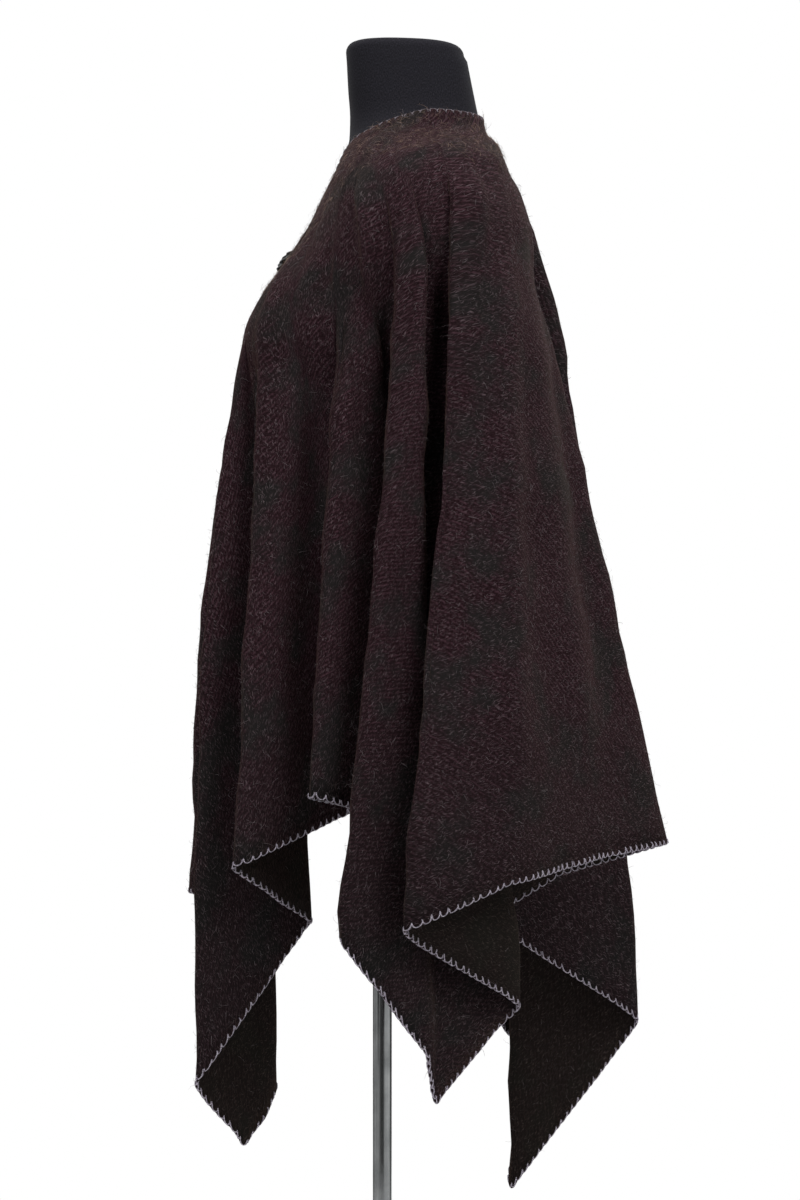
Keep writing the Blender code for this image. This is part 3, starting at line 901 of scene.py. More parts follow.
@dataclass
class Poncho:
    """One rectangle of cloth with a slit for the head, hung in folds on the form."""

    form: DressForm
    wall: float = 0.0025
    cloth_gap: float = 0.0020
    fall_gap: float = 0.0060
    crease_gap: float = 0.0012
    """Least gap to the form under a trough."""
    fall_ease: float = 0.008
    crease_ease: float = 0.0008
    """Beyond these gaps the cloth begins to be moved out, softly."""
    below_form: float = 0.10
    """How far under the form the cloth is still kept clear of it."""
    slit_end: float = 1.247
    neck_front: float = 1.378
    slit_half_angle: float = 33.0
    slit_power: float = 0.75
    turn_share: float = 0.30
    bow_peak: float = 0.45
    sway_peak: float = 0.40
    row_crowding: float = 0.85
    fall_crowding: float = 1.5
    turn_per_column: float = 5.5
    turn_steps: int = 5
    leg_steps: int = 5
    yoke_rows: int = 22
    least_yoke: float = 0.035
    """Least drop from the neck edge to where the cloth leaves the form."""
    skirt_rows: int = 44
    break_rows: float = 4.5
    break_passes: int = 14
    """Over how many rows and how often the bend where the cloth leaves the form is eased."""
    waves: tuple[tuple[float, float, int], ...] = ((0.0014, 0.110, 11), (0.0007, 0.045, 12))
    """Height, length and seed of the cloth's soft waves."""
    flutter: tuple[float, float, int] = (0.0016, 0.050, 13)
    """The same of the waves at the hem."""
    cut_width: float = 1.60
    cut_length: float = 1.72
    slit_front: float = -0.285
    """Where the slit ends in front, on the cut."""
    slit_back: float = 0.100
    break_heights: tuple[tuple[float, float], ...] = (
        (-90, 1.2), (-62, 1.185), (-40, 1.25), (-20, 1.325), (0, 1.345), (20, 1.335), (50, 1.33),
        (90, 1.36),
    )
    """Where the cloth leaves the form, by degrees round the trunk."""
    neck_heights: tuple[tuple[float, float], ...] = (
        (-57, 1.378), (-35, 1.396), (-10, 1.411), (20, 1.4195), (45, 1.419), (90, 1.418),
    )
    """The neck edge beyond the slit."""
    middle: Points = field(init=False, repr=False)
    """The middle of the cloth, a row from neck to hem for each column."""
    outward: Points = field(init=False, repr=False)
    places: Points = field(init=False, repr=False)
    """Where each point lies on the flat cut, in metres."""

    def __post_init__(self) -> None:
        """Hangs the cloth and draws its creases."""
        columns = self.hem_columns()
        smooth = self.hang(columns)
        self.places = self.on_cut(smooth, columns[:, 6])
        self.outward = self.normals(smooth)
        creased = smooth + self.outward * self.relief(columns[:, 6])[..., None]
        self.middle = self.clear_of_form(creased, self.crease_gap)
        self.outward = self.normals(self.middle)

    def cloth_radius(self, degrees: Any, height: Any, gap: Any) -> Points:
        """Distance from the trunk's axis to the middle of a wall that keeps the gap, square to the form.

        Args:
            degrees: round the trunk.
            height: above the floor.
            gap: between the form and the wall.

        Returns:
            The distance at each.
        """
        step = 0.004
        slope = (self.form.radius(degrees, height + step) - self.form.radius(degrees, height - step)) / (2 * step)
        return self.form.radius(degrees, height) + (gap + self.wall / 2) * np.sqrt(1 + np.minimum(slope**2, 9))

    def neck_height(self, degrees: Any) -> Points:
        """Height of the neck edge: a slit that opens to a V in front, then round the neck.

        Args:
            degrees: round the trunk.

        Returns:
            The height at each.
        """
        folded = half_turn(degrees)
        beside = folded + 90
        share = np.clip(beside / self.slit_half_angle, 0, 1) ** self.slit_power
        slit = self.slit_end + (self.neck_front - self.slit_end) * share
        return np.where(beside < self.slit_half_angle, slit, smooth_table(self.neck_heights, folded))

    def break_height(self, degrees: Any) -> Points:
        """Height at which the cloth leaves the form, at these degrees round the trunk."""
        return smooth_table(self.break_heights, half_turn(degrees))

    def between(self, before: Points, start: Points, end: Points, after: Points, t: float) -> Points:
        """A point on the centripetal curve from start to end.

        Args:
            before: the knot before start.
            start: where the curve starts.
            end: where it ends.
            after: the knot after end.
            t: share of the way.

        Returns:
            The point, with all its values.
        """
        knots = [0.0]
        for a, b in ((before, start), (start, end), (end, after)):
            knots.append(knots[-1] + max(np.linalg.norm(b[:3] - a[:3]), 1e-6) ** 0.5)
        k = knots[1] + t * (knots[2] - knots[1])
        points = [before, start, end, after]
        for pairs in (((0, 1), (1, 2), (2, 3)), ((0, 2), (1, 3)), ((1, 2),)):
            points = [
                (knots[j] - k) / (knots[j] - knots[i]) * one + (k - knots[i]) / (knots[j] - knots[i]) * other
                for (i, j), one, other in zip(pairs, points, points[1:])
            ]
        return points[0]

    def turn_side(self, tip: Points, towards: Points, away: Points, radius: float) -> Points:
        """Where a round turn at the tip meets the leg that runs towards the next turn.

        Args:
            tip: the fold.
            towards: the fold that the leg runs to.
            away: the fold on the other side.
            radius: of the turn.

        Returns:
            The knot, with all its values.
        """
        one = (towards[:2] - tip[:2]) / np.linalg.norm(towards[:2] - tip[:2])
        other = (away[:2] - tip[:2]) / np.linalg.norm(away[:2] - tip[:2])
        inward, across = one + other, one - other
        width = np.linalg.norm(across)
        swing = math.pi / 2 - math.asin(min(width / 2, 1))
        reach = radius * math.sin(swing)
        depth = radius * (1 - math.cos(swing))
        if np.linalg.norm(inward) > 1e-6:
            inward = inward / np.linalg.norm(inward)
        moved = inward * depth + across / width * max(reach, 0.3 * radius)
        leg = np.linalg.norm(towards[:2] - tip[:2])
        side = tip + (towards - tip) * min(np.linalg.norm(moved) / leg, 0.45)
        side[:2] = tip[:2] + moved * min(1, 0.45 * leg / np.linalg.norm(moved))
        side[3] = tip[3] + (towards[3] - tip[3]) * self.turn_share
        side[6] = tip[6] + (towards[6] - tip[6]) * self.turn_share
        return side

    def hem_columns(self) -> Points:
        """Columns round the hem, every fold rounded.

        Returns:
            A row for each: x, y, z, degrees round the trunk, spread, bow and fold number.
        """
        rows = [np.array([f.x, f.y, f.z, f.around, f.spread, f.bow, i]) for i, f in enumerate(FOLDS)]
        count = len(rows)
        knots, steps = [], []
        for i, row in enumerate(rows):
            previous, following = rows[i - 1].copy(), rows[(i + 1) % count].copy()
            if i == 0:
                previous[[3, 6]] -= (360, count)
            if i == count - 1:
                following[[3, 6]] += (360, count)
            knots.append(self.turn_side(row, previous, following, FOLDS[i].radius))
            knots.append(row)
            knots.append(self.turn_side(row, following, previous, FOLDS[i].radius))
            steps += [self.turn_steps, self.turn_steps, self.leg_steps]
        columns = []
        total = len(knots)
        for i in range(total):
            following = knots[(i + 1) % total][3] + 360 * ((i + 1) // total)
            steps[i] += int((following - knots[i][3]) // self.turn_per_column)
            four = []
            for j in (i - 1, i, i + 1, i + 2):
                knot = knots[j % total].copy()
                knot[[3, 6]] += (360 * (j // total), count * (j // total))
                four.append(knot)
            columns += [self.between(*four, step / steps[i]) for step in range(steps[i])]
        return np.array(columns)

    def clear_of_form(self, points: Points, gap: Any) -> Points:
        """The points moved out where they would lie in the form or closer to it than the gap.

        Args:
            points: the middle of the cloth.
            gap: least distance from the form to the wall.

        Returns:
            The points, clear.
        """
        x, y, z = points[..., 0], points[..., 1] - self.form.trunk_y, points[..., 2]
        degrees = np.degrees(np.arctan2(y, x))
        radius = np.hypot(x, y)
        least = self.cloth_radius(degrees, np.maximum(z, self.form.bottom + self.form.bottom_edge), gap)
        beyond = radius - least
        ease = self.fall_ease if np.ndim(gap) else self.crease_ease
        eased = np.where(beyond < ease, ease * np.exp(np.minimum(beyond - ease, 0) / ease), beyond)
        below = np.clip((self.form.bottom - z) / self.below_form, 0, 1)
        kept = radius * below + (least + eased) * (1 - below)
        scale = np.where(beyond < ease, kept / np.maximum(radius, 1e-6), 1.0)
        moved = points.copy()
        moved[..., 0] = x * scale
        moved[..., 1] = y * scale + self.form.trunk_y
        return moved

    def hang(self, columns: Points) -> Points:
        """The middle of the cloth before its creases.

        Args:
            columns: from hem_columns.

        Returns:
            A grid of points, one row from neck to hem for each column.
        """
        hem, degrees = columns[:, :3], columns[:, 3]
        spread, bow = columns[:, 4:5], columns[:, 5:6]
        angle = np.radians(degrees)[:, None]
        top = self.neck_height(degrees)[:, None]
        leave = np.minimum(self.break_height(degrees)[:, None], top - self.least_yoke)
        share = np.linspace(0, 1, self.yoke_rows + 1)[None, :]
        height = top + (leave - top) * share**self.row_crowding
        radius = self.cloth_radius(degrees[:, None], height, self.cloth_gap)
        yoke = self.form.on_axis(radius, degrees[:, None], height)
        start = yoke[:, -1:, :]
        fall = ((np.arange(1, self.skirt_rows + 1) / self.skirt_rows) ** self.fall_crowding)[None, :]
        plan = 1 - (1 - fall) ** spread
        skirt = np.empty((len(hem), self.skirt_rows, 3))
        for axis, way in enumerate((plan, plan, fall)):
            skirt[:, :, axis] = start[:, :, axis] + (hem[:, axis : axis + 1] - start[:, :, axis]) * way
        swell = bow * np.sin(math.pi * fall**self.bow_peak)
        skirt[:, :, 0] += np.cos(angle) * swell
        skirt[:, :, 1] += np.sin(angle) * swell
        for fold, metres, reach in SWAYS:
            share = bell((columns[:, 6:7] - fold) / reach) * np.sin(math.pi * fall**self.sway_peak)
            skirt[:, :, 0] -= np.sin(angle) * share * metres
            skirt[:, :, 1] += np.cos(angle) * share * metres
        gap = self.cloth_gap + (self.fall_gap - self.cloth_gap) * np.minimum(fall * 5, 1)
        return self.ease_break(np.concatenate([yoke, self.clear_of_form(skirt, gap)], axis=1))

    def ease_break(self, grid: Points) -> Points:
        """Softens the bend where the cloth leaves the form.

        Args:
            grid: the middle of the cloth.

        Returns:
            The grid, eased near the break.
        """
        rows = np.arange(grid.shape[1])
        ease = bell((rows - self.yoke_rows - 2) / self.break_rows)[None, :, None]
        ease[:, [0, -1]] = 0
        eased = grid
        for _ in range(self.break_passes):
            mean = (np.roll(eased, 1, axis=1) + np.roll(eased, -1, axis=1)) / 2
            eased = eased + (mean - eased) * ease * 0.8
        return eased

    def normals(self, grid: Points) -> Points:
        """The outward direction at each point of the grid.

        Args:
            grid: the middle of the cloth.

        Returns:
            Directions of length 1.
        """
        round_about = np.roll(grid, -1, axis=0) - np.roll(grid, 1, axis=0)
        down = np.gradient(grid, axis=1)
        return unit(np.cross(down, round_about))

    def on_cut(self, grid: Points, folds: Points) -> Points:
        """Where each point lies on the flat cut, the hem laid along the rectangle's edges.

        Args:
            grid: the middle of the cloth.
            folds: each column's fold number.

        Returns:
            Metres to the wearer's left and to the back of the shoulder line.
        """
        hem = grid[:, -1]
        run = lengths_along(hem)
        half_w, half_l = self.cut_width / 2, self.cut_length / 2
        numbers = {fold.name: number for number, fold in enumerate(FOLDS)}
        at = [float(np.interp(numbers[corner.value], folds, run)) for corner in Corner]
        middle = float(np.interp(0, folds, run))
        total = run[-1] + np.linalg.norm(hem[0] - hem[-1])
        stops = [middle, *at, middle + total]
        us = [0.0, half_w, half_w, -half_w, -half_w, 0.0]
        vs = [-half_l, -half_l, half_l, half_l, -half_l, -half_l]
        wrapped = np.where(run < middle, run + total, run)
        edge = np.stack([np.interp(wrapped, stops, us), np.interp(wrapped, stops, vs)], axis=1)
        neck = grid[:, 0]
        behind = np.interp(neck[:, 1], (neck[:, 1].min(), neck[:, 1].max()), (self.slit_front, self.slit_back))
        slit = np.stack([np.sign(edge[:, 0]) * 0.001, behind], axis=1)
        length = np.linalg.norm(np.diff(grid, axis=1), axis=2)
        share = np.concatenate([np.zeros((len(grid), 1)), np.cumsum(length, axis=1)], axis=1)
        share /= share[:, -1:]
        return slit[:, None, :] + (edge - slit)[:, None, :] * share[..., None]

    def relief(self, folds: Points) -> Points:
        """Height of the creases, of the cloth's soft waves and of the hem's flutter.

        Args:
            folds: each column's fold number.

        Returns:
            Metres outward at each point of the grid.
        """
        u, v = self.places[..., 0], self.places[..., 1]
        rise = np.zeros(u.shape)
        rows = np.arange(u.shape[1])
        length = np.linalg.norm(self.places - self.places[:, :1], axis=2)
        shares = length / length[:, -1:]
        for crease in CREASES:
            knots = []
            for fold, share in crease.path:
                column = int(np.searchsorted(folds, fold)) % len(folds)
                row = float(np.interp(share, shares[column], rows))
                low = int(row)
                high = min(low + 1, len(rows) - 1)
                knots.append(self.places[column, low] * (1 - row + low) + self.places[column, high] * (row - low))
            rise += crease.rise * self.beside(u, v, np.array(knots), crease.width)
        rise += sum(height * ripple(u, v, *wave) for height, *wave in self.waves)
        near_hem = np.clip((shares - 0.88) / 0.12, 0, 1) ** 2
        rise += self.flutter[0] * ripple(u, v, *self.flutter[1:]) * near_hem
        settle = np.clip(shares / 0.05, 0, 1)
        chest = np.clip((6.5 - np.minimum(folds, len(FOLDS) - folds)) / 2, 0, 1)[:, None]
        calm = 1 - chest * np.clip((0.24 - shares) / 0.10, 0, 1)
        return rise * settle * calm

    def beside(self, u: Points, v: Points, path: Points, width: float) -> Points:
        """How much of a crease is felt at each place: 1 on its line, less beside it and towards its ends.

        Args:
            u: places across the cut.
            v: places along the cut.
            path: the crease's points on the cut.
            width: how far it is felt.

        Returns:
            A share from 0 to 1.
        """
        spans = np.diff(path, axis=0)
        lengths = np.linalg.norm(spans, axis=1)
        whole = lengths.sum()
        best = np.full(u.shape, 1e9)
        along = np.zeros(u.shape)
        for i, (start, span, length) in enumerate(zip(path, spans, lengths)):
            t = np.clip(((u - start[0]) * span[0] + (v - start[1]) * span[1]) / length**2, 0, 1)
            away = np.hypot(u - start[0] - t * span[0], v - start[1] - t * span[1])
            nearer = away < best
            best = np.where(nearer, away, best)
            along = np.where(nearer, lengths[:i].sum() + t * length, along)
        fade = np.clip(along / whole / 0.22, 0, 1) * np.clip((1 - along / whole) / 0.22, 0, 1)
        return bell(best / width) * fade * fade * (3 - 2 * fade)

    def edge(self, row: int, within: int, facing: int) -> EdgeLine:
        """The whole way round an edge, for its stitching.

        Args:
            row: the row of the grid that is the edge.
            within: a row further into the cloth.
            facing: the row whose outward direction is taken.

        Returns:
            The edge, closed.
        """
        inward = unit(self.middle[:, within] - self.middle[:, row])
        lines = (self.middle[:, row], inward, self.outward[:, facing])
        return EdgeLine(*(np.concatenate([line, line[:1]]) for line in lines))

    def surface(self, face: Face, beyond: float) -> Points:
        """The grid on one face of the cloth, or a little beyond it."""
        return self.middle + self.outward * (self.wall / 2 + beyond) * face.value

    def build(self, finish: WoolTwill, reverse: WoolTwill) -> bpy.types.Object:
        """The cloth as a wall.

        Args:
            finish: its outer face.
            reverse: its inner face.

        Returns:
            The object.
        """
        columns, rows = self.middle.shape[:2]
        column, row = np.meshgrid(np.arange(columns), np.arange(rows - 1), indexing="ij")
        after = (column + 1) % columns
        faces = np.stack(
            [column * rows + row, column * rows + row + 1, after * rows + row + 1, after * rows + row], axis=-1
        )
        obj = mesh_object(
            "poncho_cloth", self.middle.reshape(-1, 3), faces.reshape(-1, 4), self.places.reshape(-1, 2)
        )
        dress(obj, finish.material(), reverse.material())
        deselect_all()
        obj.select_set(True)
        bpy.context.view_layer.objects.active = obj
        wall = obj.modifiers.new("cloth thickness", "SOLIDIFY")
        wall.thickness = self.wall
        wall.material_offset = 1
        wall.offset = 0
        wall.use_even_offset = False
        bpy.ops.object.modifier_apply(modifier=wall.name)
        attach(obj, "root")
        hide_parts("poncho")
        return obj


# ---- Edge stitching ----


@dataclass
class BlanketStitch:
    """A row of blanket stitch over an edge: a loop along the edge from each leg to the next."""

    name: str
    face: Face
    pitch: float = 0.0100
    depth: float = 0.0056
    yarn: float = 0.00060
    """Radius of the yarn."""
    sides: int = 6
    seed: int = 3
    unevenness: float = 0.16
    lean: float = 0.0007
    """How far a leg usually leans to either side."""
    loop: tuple[tuple[float, float], ...] = (
        (0.0, 1.0), (0.03, 0.72), (0.09, 0.42), (0.2, 0.15), (0.35, 0.03), (0.52, -0.03),
        (0.68, 0.01), (0.82, 0.12), (0.92, 0.34), (0.97, 0.62), (1.0, 0.94),
    )
    """Share of the pitch, and share of the depth into the cloth."""

    def path(self, edge: EdgeLine, cloth_wall: float) -> list[Points]:
        """The middle of the yarn, one stitch after the other.

        Args:
            edge: the edge it is worked on.
            cloth_wall: the cloth's thickness.

        Returns:
            The points of each stitch.
        """
        dice = np.random.default_rng(self.seed)
        run = lengths_along(edge.points)
        count = int(run[-1] / self.pitch)
        starts = (np.arange(count + 1) + dice.normal(0, self.unevenness * 0.5, count + 1)) * run[-1] / count
        starts[0], starts[-1] = 0, run[-1]
        stitches = []
        for i in range(count):
            deep = self.depth * dice.uniform(1 - self.unevenness, 1 + self.unevenness)
            lean = dice.normal(0.0, self.lean)
            points = []
            for share, into in self.loop:
                at = starts[i] + (starts[i + 1] - starts[i]) * share
                spot, inward, outward = (
                    np.array([np.interp(at, run, rows[:, axis]) for axis in range(3)]) for rows in edge
                )
                along = np.cross(inward, outward)
                off = cloth_wall / 2 * min(1, 0.15 + max(into, 0) * 5) + self.yarn * 0.55
                sunk = self.yarn * 1.6 * max(0, into - 0.8) / 0.2
                points.append(
                    spot
                    + inward * (deep * into - self.yarn * 0.5)
                    + outward * (off - sunk) * self.face.value
                    + along * lean * max(into, 0)
                )
            stitches.append(np.array(points))
        return stitches

    def tube(self, path: Points, start: float) -> tuple[Points, list[list[int]], Points]:
        """A closed tube of yarn round a path.

        Args:
            path: its middle.
            start: length of yarn before it.

        Returns:
            Its points, faces, and places along and round the yarn.
        """
        ahead = unit(np.gradient(path, axis=0))
        side = unit(np.cross(ahead, np.roll(ahead, 1, axis=0) + np.array([0.01, 0.02, 0.03])))
        for i in range(1, len(side)):
            flat = side[i - 1] - ahead[i] * np.dot(side[i - 1], ahead[i])
            side[i] = flat / max(np.linalg.norm(flat), 1e-9)
        other = np.cross(ahead, side)
        turn = np.arange(self.sides) * 2 * math.pi / self.sides
        radius = np.full(len(path), self.yarn)
        radius[[0, -1]] *= 0.75
        ring = side[:, None, :] * np.cos(turn)[None, :, None] + other[:, None, :] * np.sin(turn)[None, :, None]
        points = path[:, None, :] + ring * radius[:, None, None]
        n, m = len(path), self.sides
        faces = [
            [i * m + j, i * m + (j + 1) % m, (i + 1) * m + (j + 1) % m, (i + 1) * m + j]
            for i in range(n - 1)
            for j in range(m)
        ]
        faces += [list(reversed(range(m))), [(n - 1) * m + j for j in range(m)]]
        run = start + lengths_along(path)
        places = np.stack(np.broadcast_arrays(run[:, None], (turn / (2 * math.pi))[None, :]), axis=-1)
        return points.reshape(-1, 3), faces, places.reshape(-1, 2)

    def build(self, edge: EdgeLine, cloth_wall: float, yarn: bpy.types.Material) -> bpy.types.Object:
        """The whole row of stitches.

        Args:
            edge: the edge it is worked on.
            cloth_wall: the cloth's thickness.
            yarn: the finish.

        Returns:
            The object.
        """
        points, faces, places = [], [], []
        placed, run = 0, 0.0
        for path in self.path(edge, cloth_wall):
            some, their_faces, their_places = self.tube(path, run)
            points.append(some)
            faces += [[placed + number for number in one] for one in their_faces]
            places.append(their_places)
            placed += len(some)
            run = float(their_places[-1, 0])
        obj = mesh_object(self.name, np.concatenate(points), faces, np.concatenate(places))
        dress(obj, yarn)
        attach(obj, "root")
        return obj


# ---- Fuzz ----


@dataclass
class Fuzz:
    """Loose hairs brushed up from one face of the cloth: thin closed spikes, each with two bends."""

    name: str
    face: Face
    count: int
    seed: int
    shortest: float = 0.004
    longest: float = 0.013
    stand: float = 0.9
    """How far a hair stands off the cloth."""
    width: float = 0.00026
    """A hair is thinner, but would not show."""
    rows: int = 66
    """How many rows of the cloth they grow on, from the neck edge."""
    sunk: float = 0.0003
    """How deep the roots lie in the cloth."""

    def build(self, poncho: Poncho, finish: WoolFuzz) -> bpy.types.Object:
        """Hairs strewn over the face by its area.

        Args:
            poncho: the cloth they grow from.
            finish: their colour.

        Returns:
            The object.
        """
        dice = np.random.default_rng(self.seed)
        grid = poncho.surface(self.face, -self.sunk)
        next_column = np.roll(grid, -1, axis=0)
        one = next_column[:, :-1] - grid[:, :-1]
        other = grid[:, 1:] - grid[:, :-1]
        area = np.linalg.norm(np.cross(one, other), axis=2)
        area[:, self.rows :] = 0
        area = area.ravel()
        cell = dice.choice(len(area), self.count, p=area / area.sum())
        column, row = np.divmod(cell, grid.shape[1] - 1)
        s, t = dice.random((2, self.count, 1))
        root = grid[column, row] + one[column, row] * s + other[column, row] * t
        outward = poncho.outward[column, row] * self.face.value
        heading = dice.uniform(0, 2 * math.pi, (self.count, 1))
        along = unit(one[column, row])
        across = np.cross(outward, along)
        flat = along * np.cos(heading) + across * np.sin(heading)
        turned = along * np.cos(heading + 0.9) + across * np.sin(heading + 0.9)
        swing = dice.choice([-1.0, 1.0], (self.count, 1)) * dice.uniform(0.2, 1.0, (self.count, 1))
        side = np.cross(outward, flat)
        length = dice.uniform(self.shortest, self.longest, (self.count, 1))
        lift = length * dice.beta(1.2, 4.0, (self.count, 1)) * self.stand
        stations = [
            root,
            root + flat * length * 0.35 + outward * lift * 0.75,
            root + flat * length * 0.70 + outward * lift + side * swing * length * 0.14,
            root + turned * length * 0.20 + flat * length * 0.75 + outward * lift * 0.8 + side * swing * length * 0.4,
        ]
        width = self.width * dice.uniform(0.7, 1.35, (self.count, 1))
        ring = [side, -0.5 * side + 0.87 * outward, -0.5 * side - 0.87 * outward]
        points = [stations[k] + corner * width * (1 - 0.25 * k) * 0.5 for k in (0, 1, 2) for corner in ring]
        points.append(stations[3])
        stacked = np.stack(points, axis=1)
        single = [[0, 2, 1]]
        for k in (0, 3):
            single += [[k + a, k + b, k + 3 + b, k + 3 + a] for a, b in ((0, 1), (1, 2), (2, 0))]
        single += [[6 + a, 6 + b, 9] for a, b in ((0, 1), (1, 2), (2, 0))]
        faces = [[i * 10 + number for number in one_face] for i in range(self.count) for one_face in single]
        obj = mesh_object(self.name, stacked.reshape(-1, 3), faces)
        dress(obj, finish.material())
        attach(obj, "root")
        return obj


# ---- Clasp ----


@dataclass
class NeckClasp:
    """Small lobed clasp that holds the foot of the slit together, lying on the cloth."""

    poncho: Poncho
    height: float = 1.271
    half_width: float = 0.016
    half_length: float = 0.013
    lobes: int = 6
    lobe_depth: float = 0.09
    petal_rise: float = 0.18
    seat: float = 0.0005
    thickness: float = 0.0085
    sides: int = 120
    profile: tuple[tuple[float, float], ...] = (
        (0.3, 0.0), (0.9, 0.0), (0.985, 0.03), (1.0, 0.1), (1.0, 0.22), (0.985, 0.31), (0.94, 0.42),
        (0.86, 0.6), (0.78, 0.66), (0.7, 0.62), (0.64, 0.6), (0.58, 0.66), (0.48, 0.76),
        (0.38, 0.84), (0.26, 0.94), (0.14, 1.0), (0.04, 1.0),
    )
    """Share of the outline and share of the thickness, from the underside to the top."""

    def rings(self) -> list[Points]:
        """The clasp's rings, each kept to the form's curve.

        Returns:
            One array of points a ring.
        """
        form = self.poncho.form
        turn = np.arange(self.sides) * 2 * math.pi / self.sides
        lobes = 1 + self.lobe_depth * np.cos(self.lobes * turn)
        front = form.radius(-90, self.height)
        lean = (form.radius(-90, self.height - 0.01) - form.radius(-90, self.height + 0.01)) / 0.02
        rise = 1 / math.hypot(1, float(lean))
        rings = []
        for share, lift in self.profile:
            outline = share * (1 + (lobes - 1) * share)
            across = self.half_width * outline * np.cos(turn)
            height = self.height + self.half_length * outline * np.sin(turn) * rise
            degrees = -90 + np.degrees(across / front)
            petal = 1 + self.petal_rise * np.cos(self.lobes * turn) * (0.3 < share < 0.95)
            gap = self.poncho.cloth_gap + self.poncho.wall / 2 + self.seat + self.thickness * lift * petal
            rings.append(form.on_axis(self.poncho.cloth_radius(degrees, height, gap), degrees, height))
        return rings

    def build(self, finish: BlackenedMetal) -> bpy.types.Object:
        """The clasp in its place.

        Args:
            finish: its metal.

        Returns:
            The object.
        """
        obj = ring_stack("slit_clasp", self.rings(), 60)
        dress(obj, finish.material())
        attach(obj, "root")
        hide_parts("neck_clasp")
        return obj


# ---- Stand ----


@dataclass
class Stand:
    """Round base, pole and the plate under the form, all bright chrome."""

    form_bottom: float
    pole_radius: float = 0.010
    base_radius: float = 0.170
    base_thickness: float = 0.006
    plate_radius: float = 0.034
    plate_thickness: float = 0.006
    seat: float = 0.0003

    def select_ends(self, obj: bpy.types.Object, least: float) -> None:
        """Selects the faces that look up or down, in edit mode.

        Args:
            obj: the piece in hand.
            least: how upright a face's normal must be.
        """
        bpy.ops.mesh.select_all(action="DESELECT")
        bpy.ops.object.mode_set(mode="OBJECT")
        for polygon in obj.data.polygons:
            polygon.select = abs(polygon.normal.z) > least
        bpy.ops.object.mode_set(mode="EDIT")

    def turned(
        self, name: str, node: str, radius: float, low: float, high: float, edge: float, sides: int
    ) -> bpy.types.Object:
        """A round piece with both rims rounded.

        Args:
            name: its name.
            node: the solid it stands for.
            radius: of the piece.
            low: its lower face.
            high: its upper face.
            edge: radius of its rims.
            sides: points round it.

        Returns:
            The object.
        """
        deselect_all()
        bpy.ops.mesh.primitive_cylinder_add(
            vertices=sides, radius=radius, depth=high - low, location=(0, 0, (low + high) / 2)
        )
        obj = bpy.context.active_object
        obj.name = obj.data.name = name
        bpy.ops.object.transform_apply(location=True, rotation=True, scale=True)
        bpy.ops.object.mode_set(mode="EDIT")
        bpy.ops.mesh.select_mode(type="FACE")
        self.select_ends(obj, 0.9)
        bpy.ops.mesh.region_to_loop()
        bpy.ops.mesh.bevel(offset=edge, offset_type="OFFSET", segments=4, affect="EDGES")
        self.select_ends(obj, 0.999)
        bpy.ops.mesh.inset(thickness=min(edge, radius * 0.1))
        even_normals(40)
        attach(obj, "root")
        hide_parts(node)
        return obj

    def build(self, finish: PolishedChrome) -> list[bpy.types.Object]:
        """Base, pole and plate.

        Args:
            finish: their metal.

        Returns:
            The three objects.
        """
        plate_high = self.form_bottom - self.seat
        plate_low = plate_high - self.plate_thickness
        pole_low, pole_high = self.base_thickness + self.seat, plate_low - self.seat
        pieces = [
            self.turned("round_base", "stand_base", self.base_radius, 0, self.base_thickness, 0.002, 160),
            self.turned("chrome_pole", "stand_pole", self.pole_radius, pole_low, pole_high, 0.0008, 96),
            self.turned("form_seat", "form_plate", self.plate_radius, plate_low, plate_high, 0.0015, 96),
        ]
        metal = finish.material()
        for piece in pieces:
            dress(piece, metal)
        return pieces


# ---- Studio ----


class Lamp(NamedTuple):
    """A soft lamp: where it stands, its size and its power."""

    name: str
    place: tuple[float, float, float]
    size: float
    watts: float


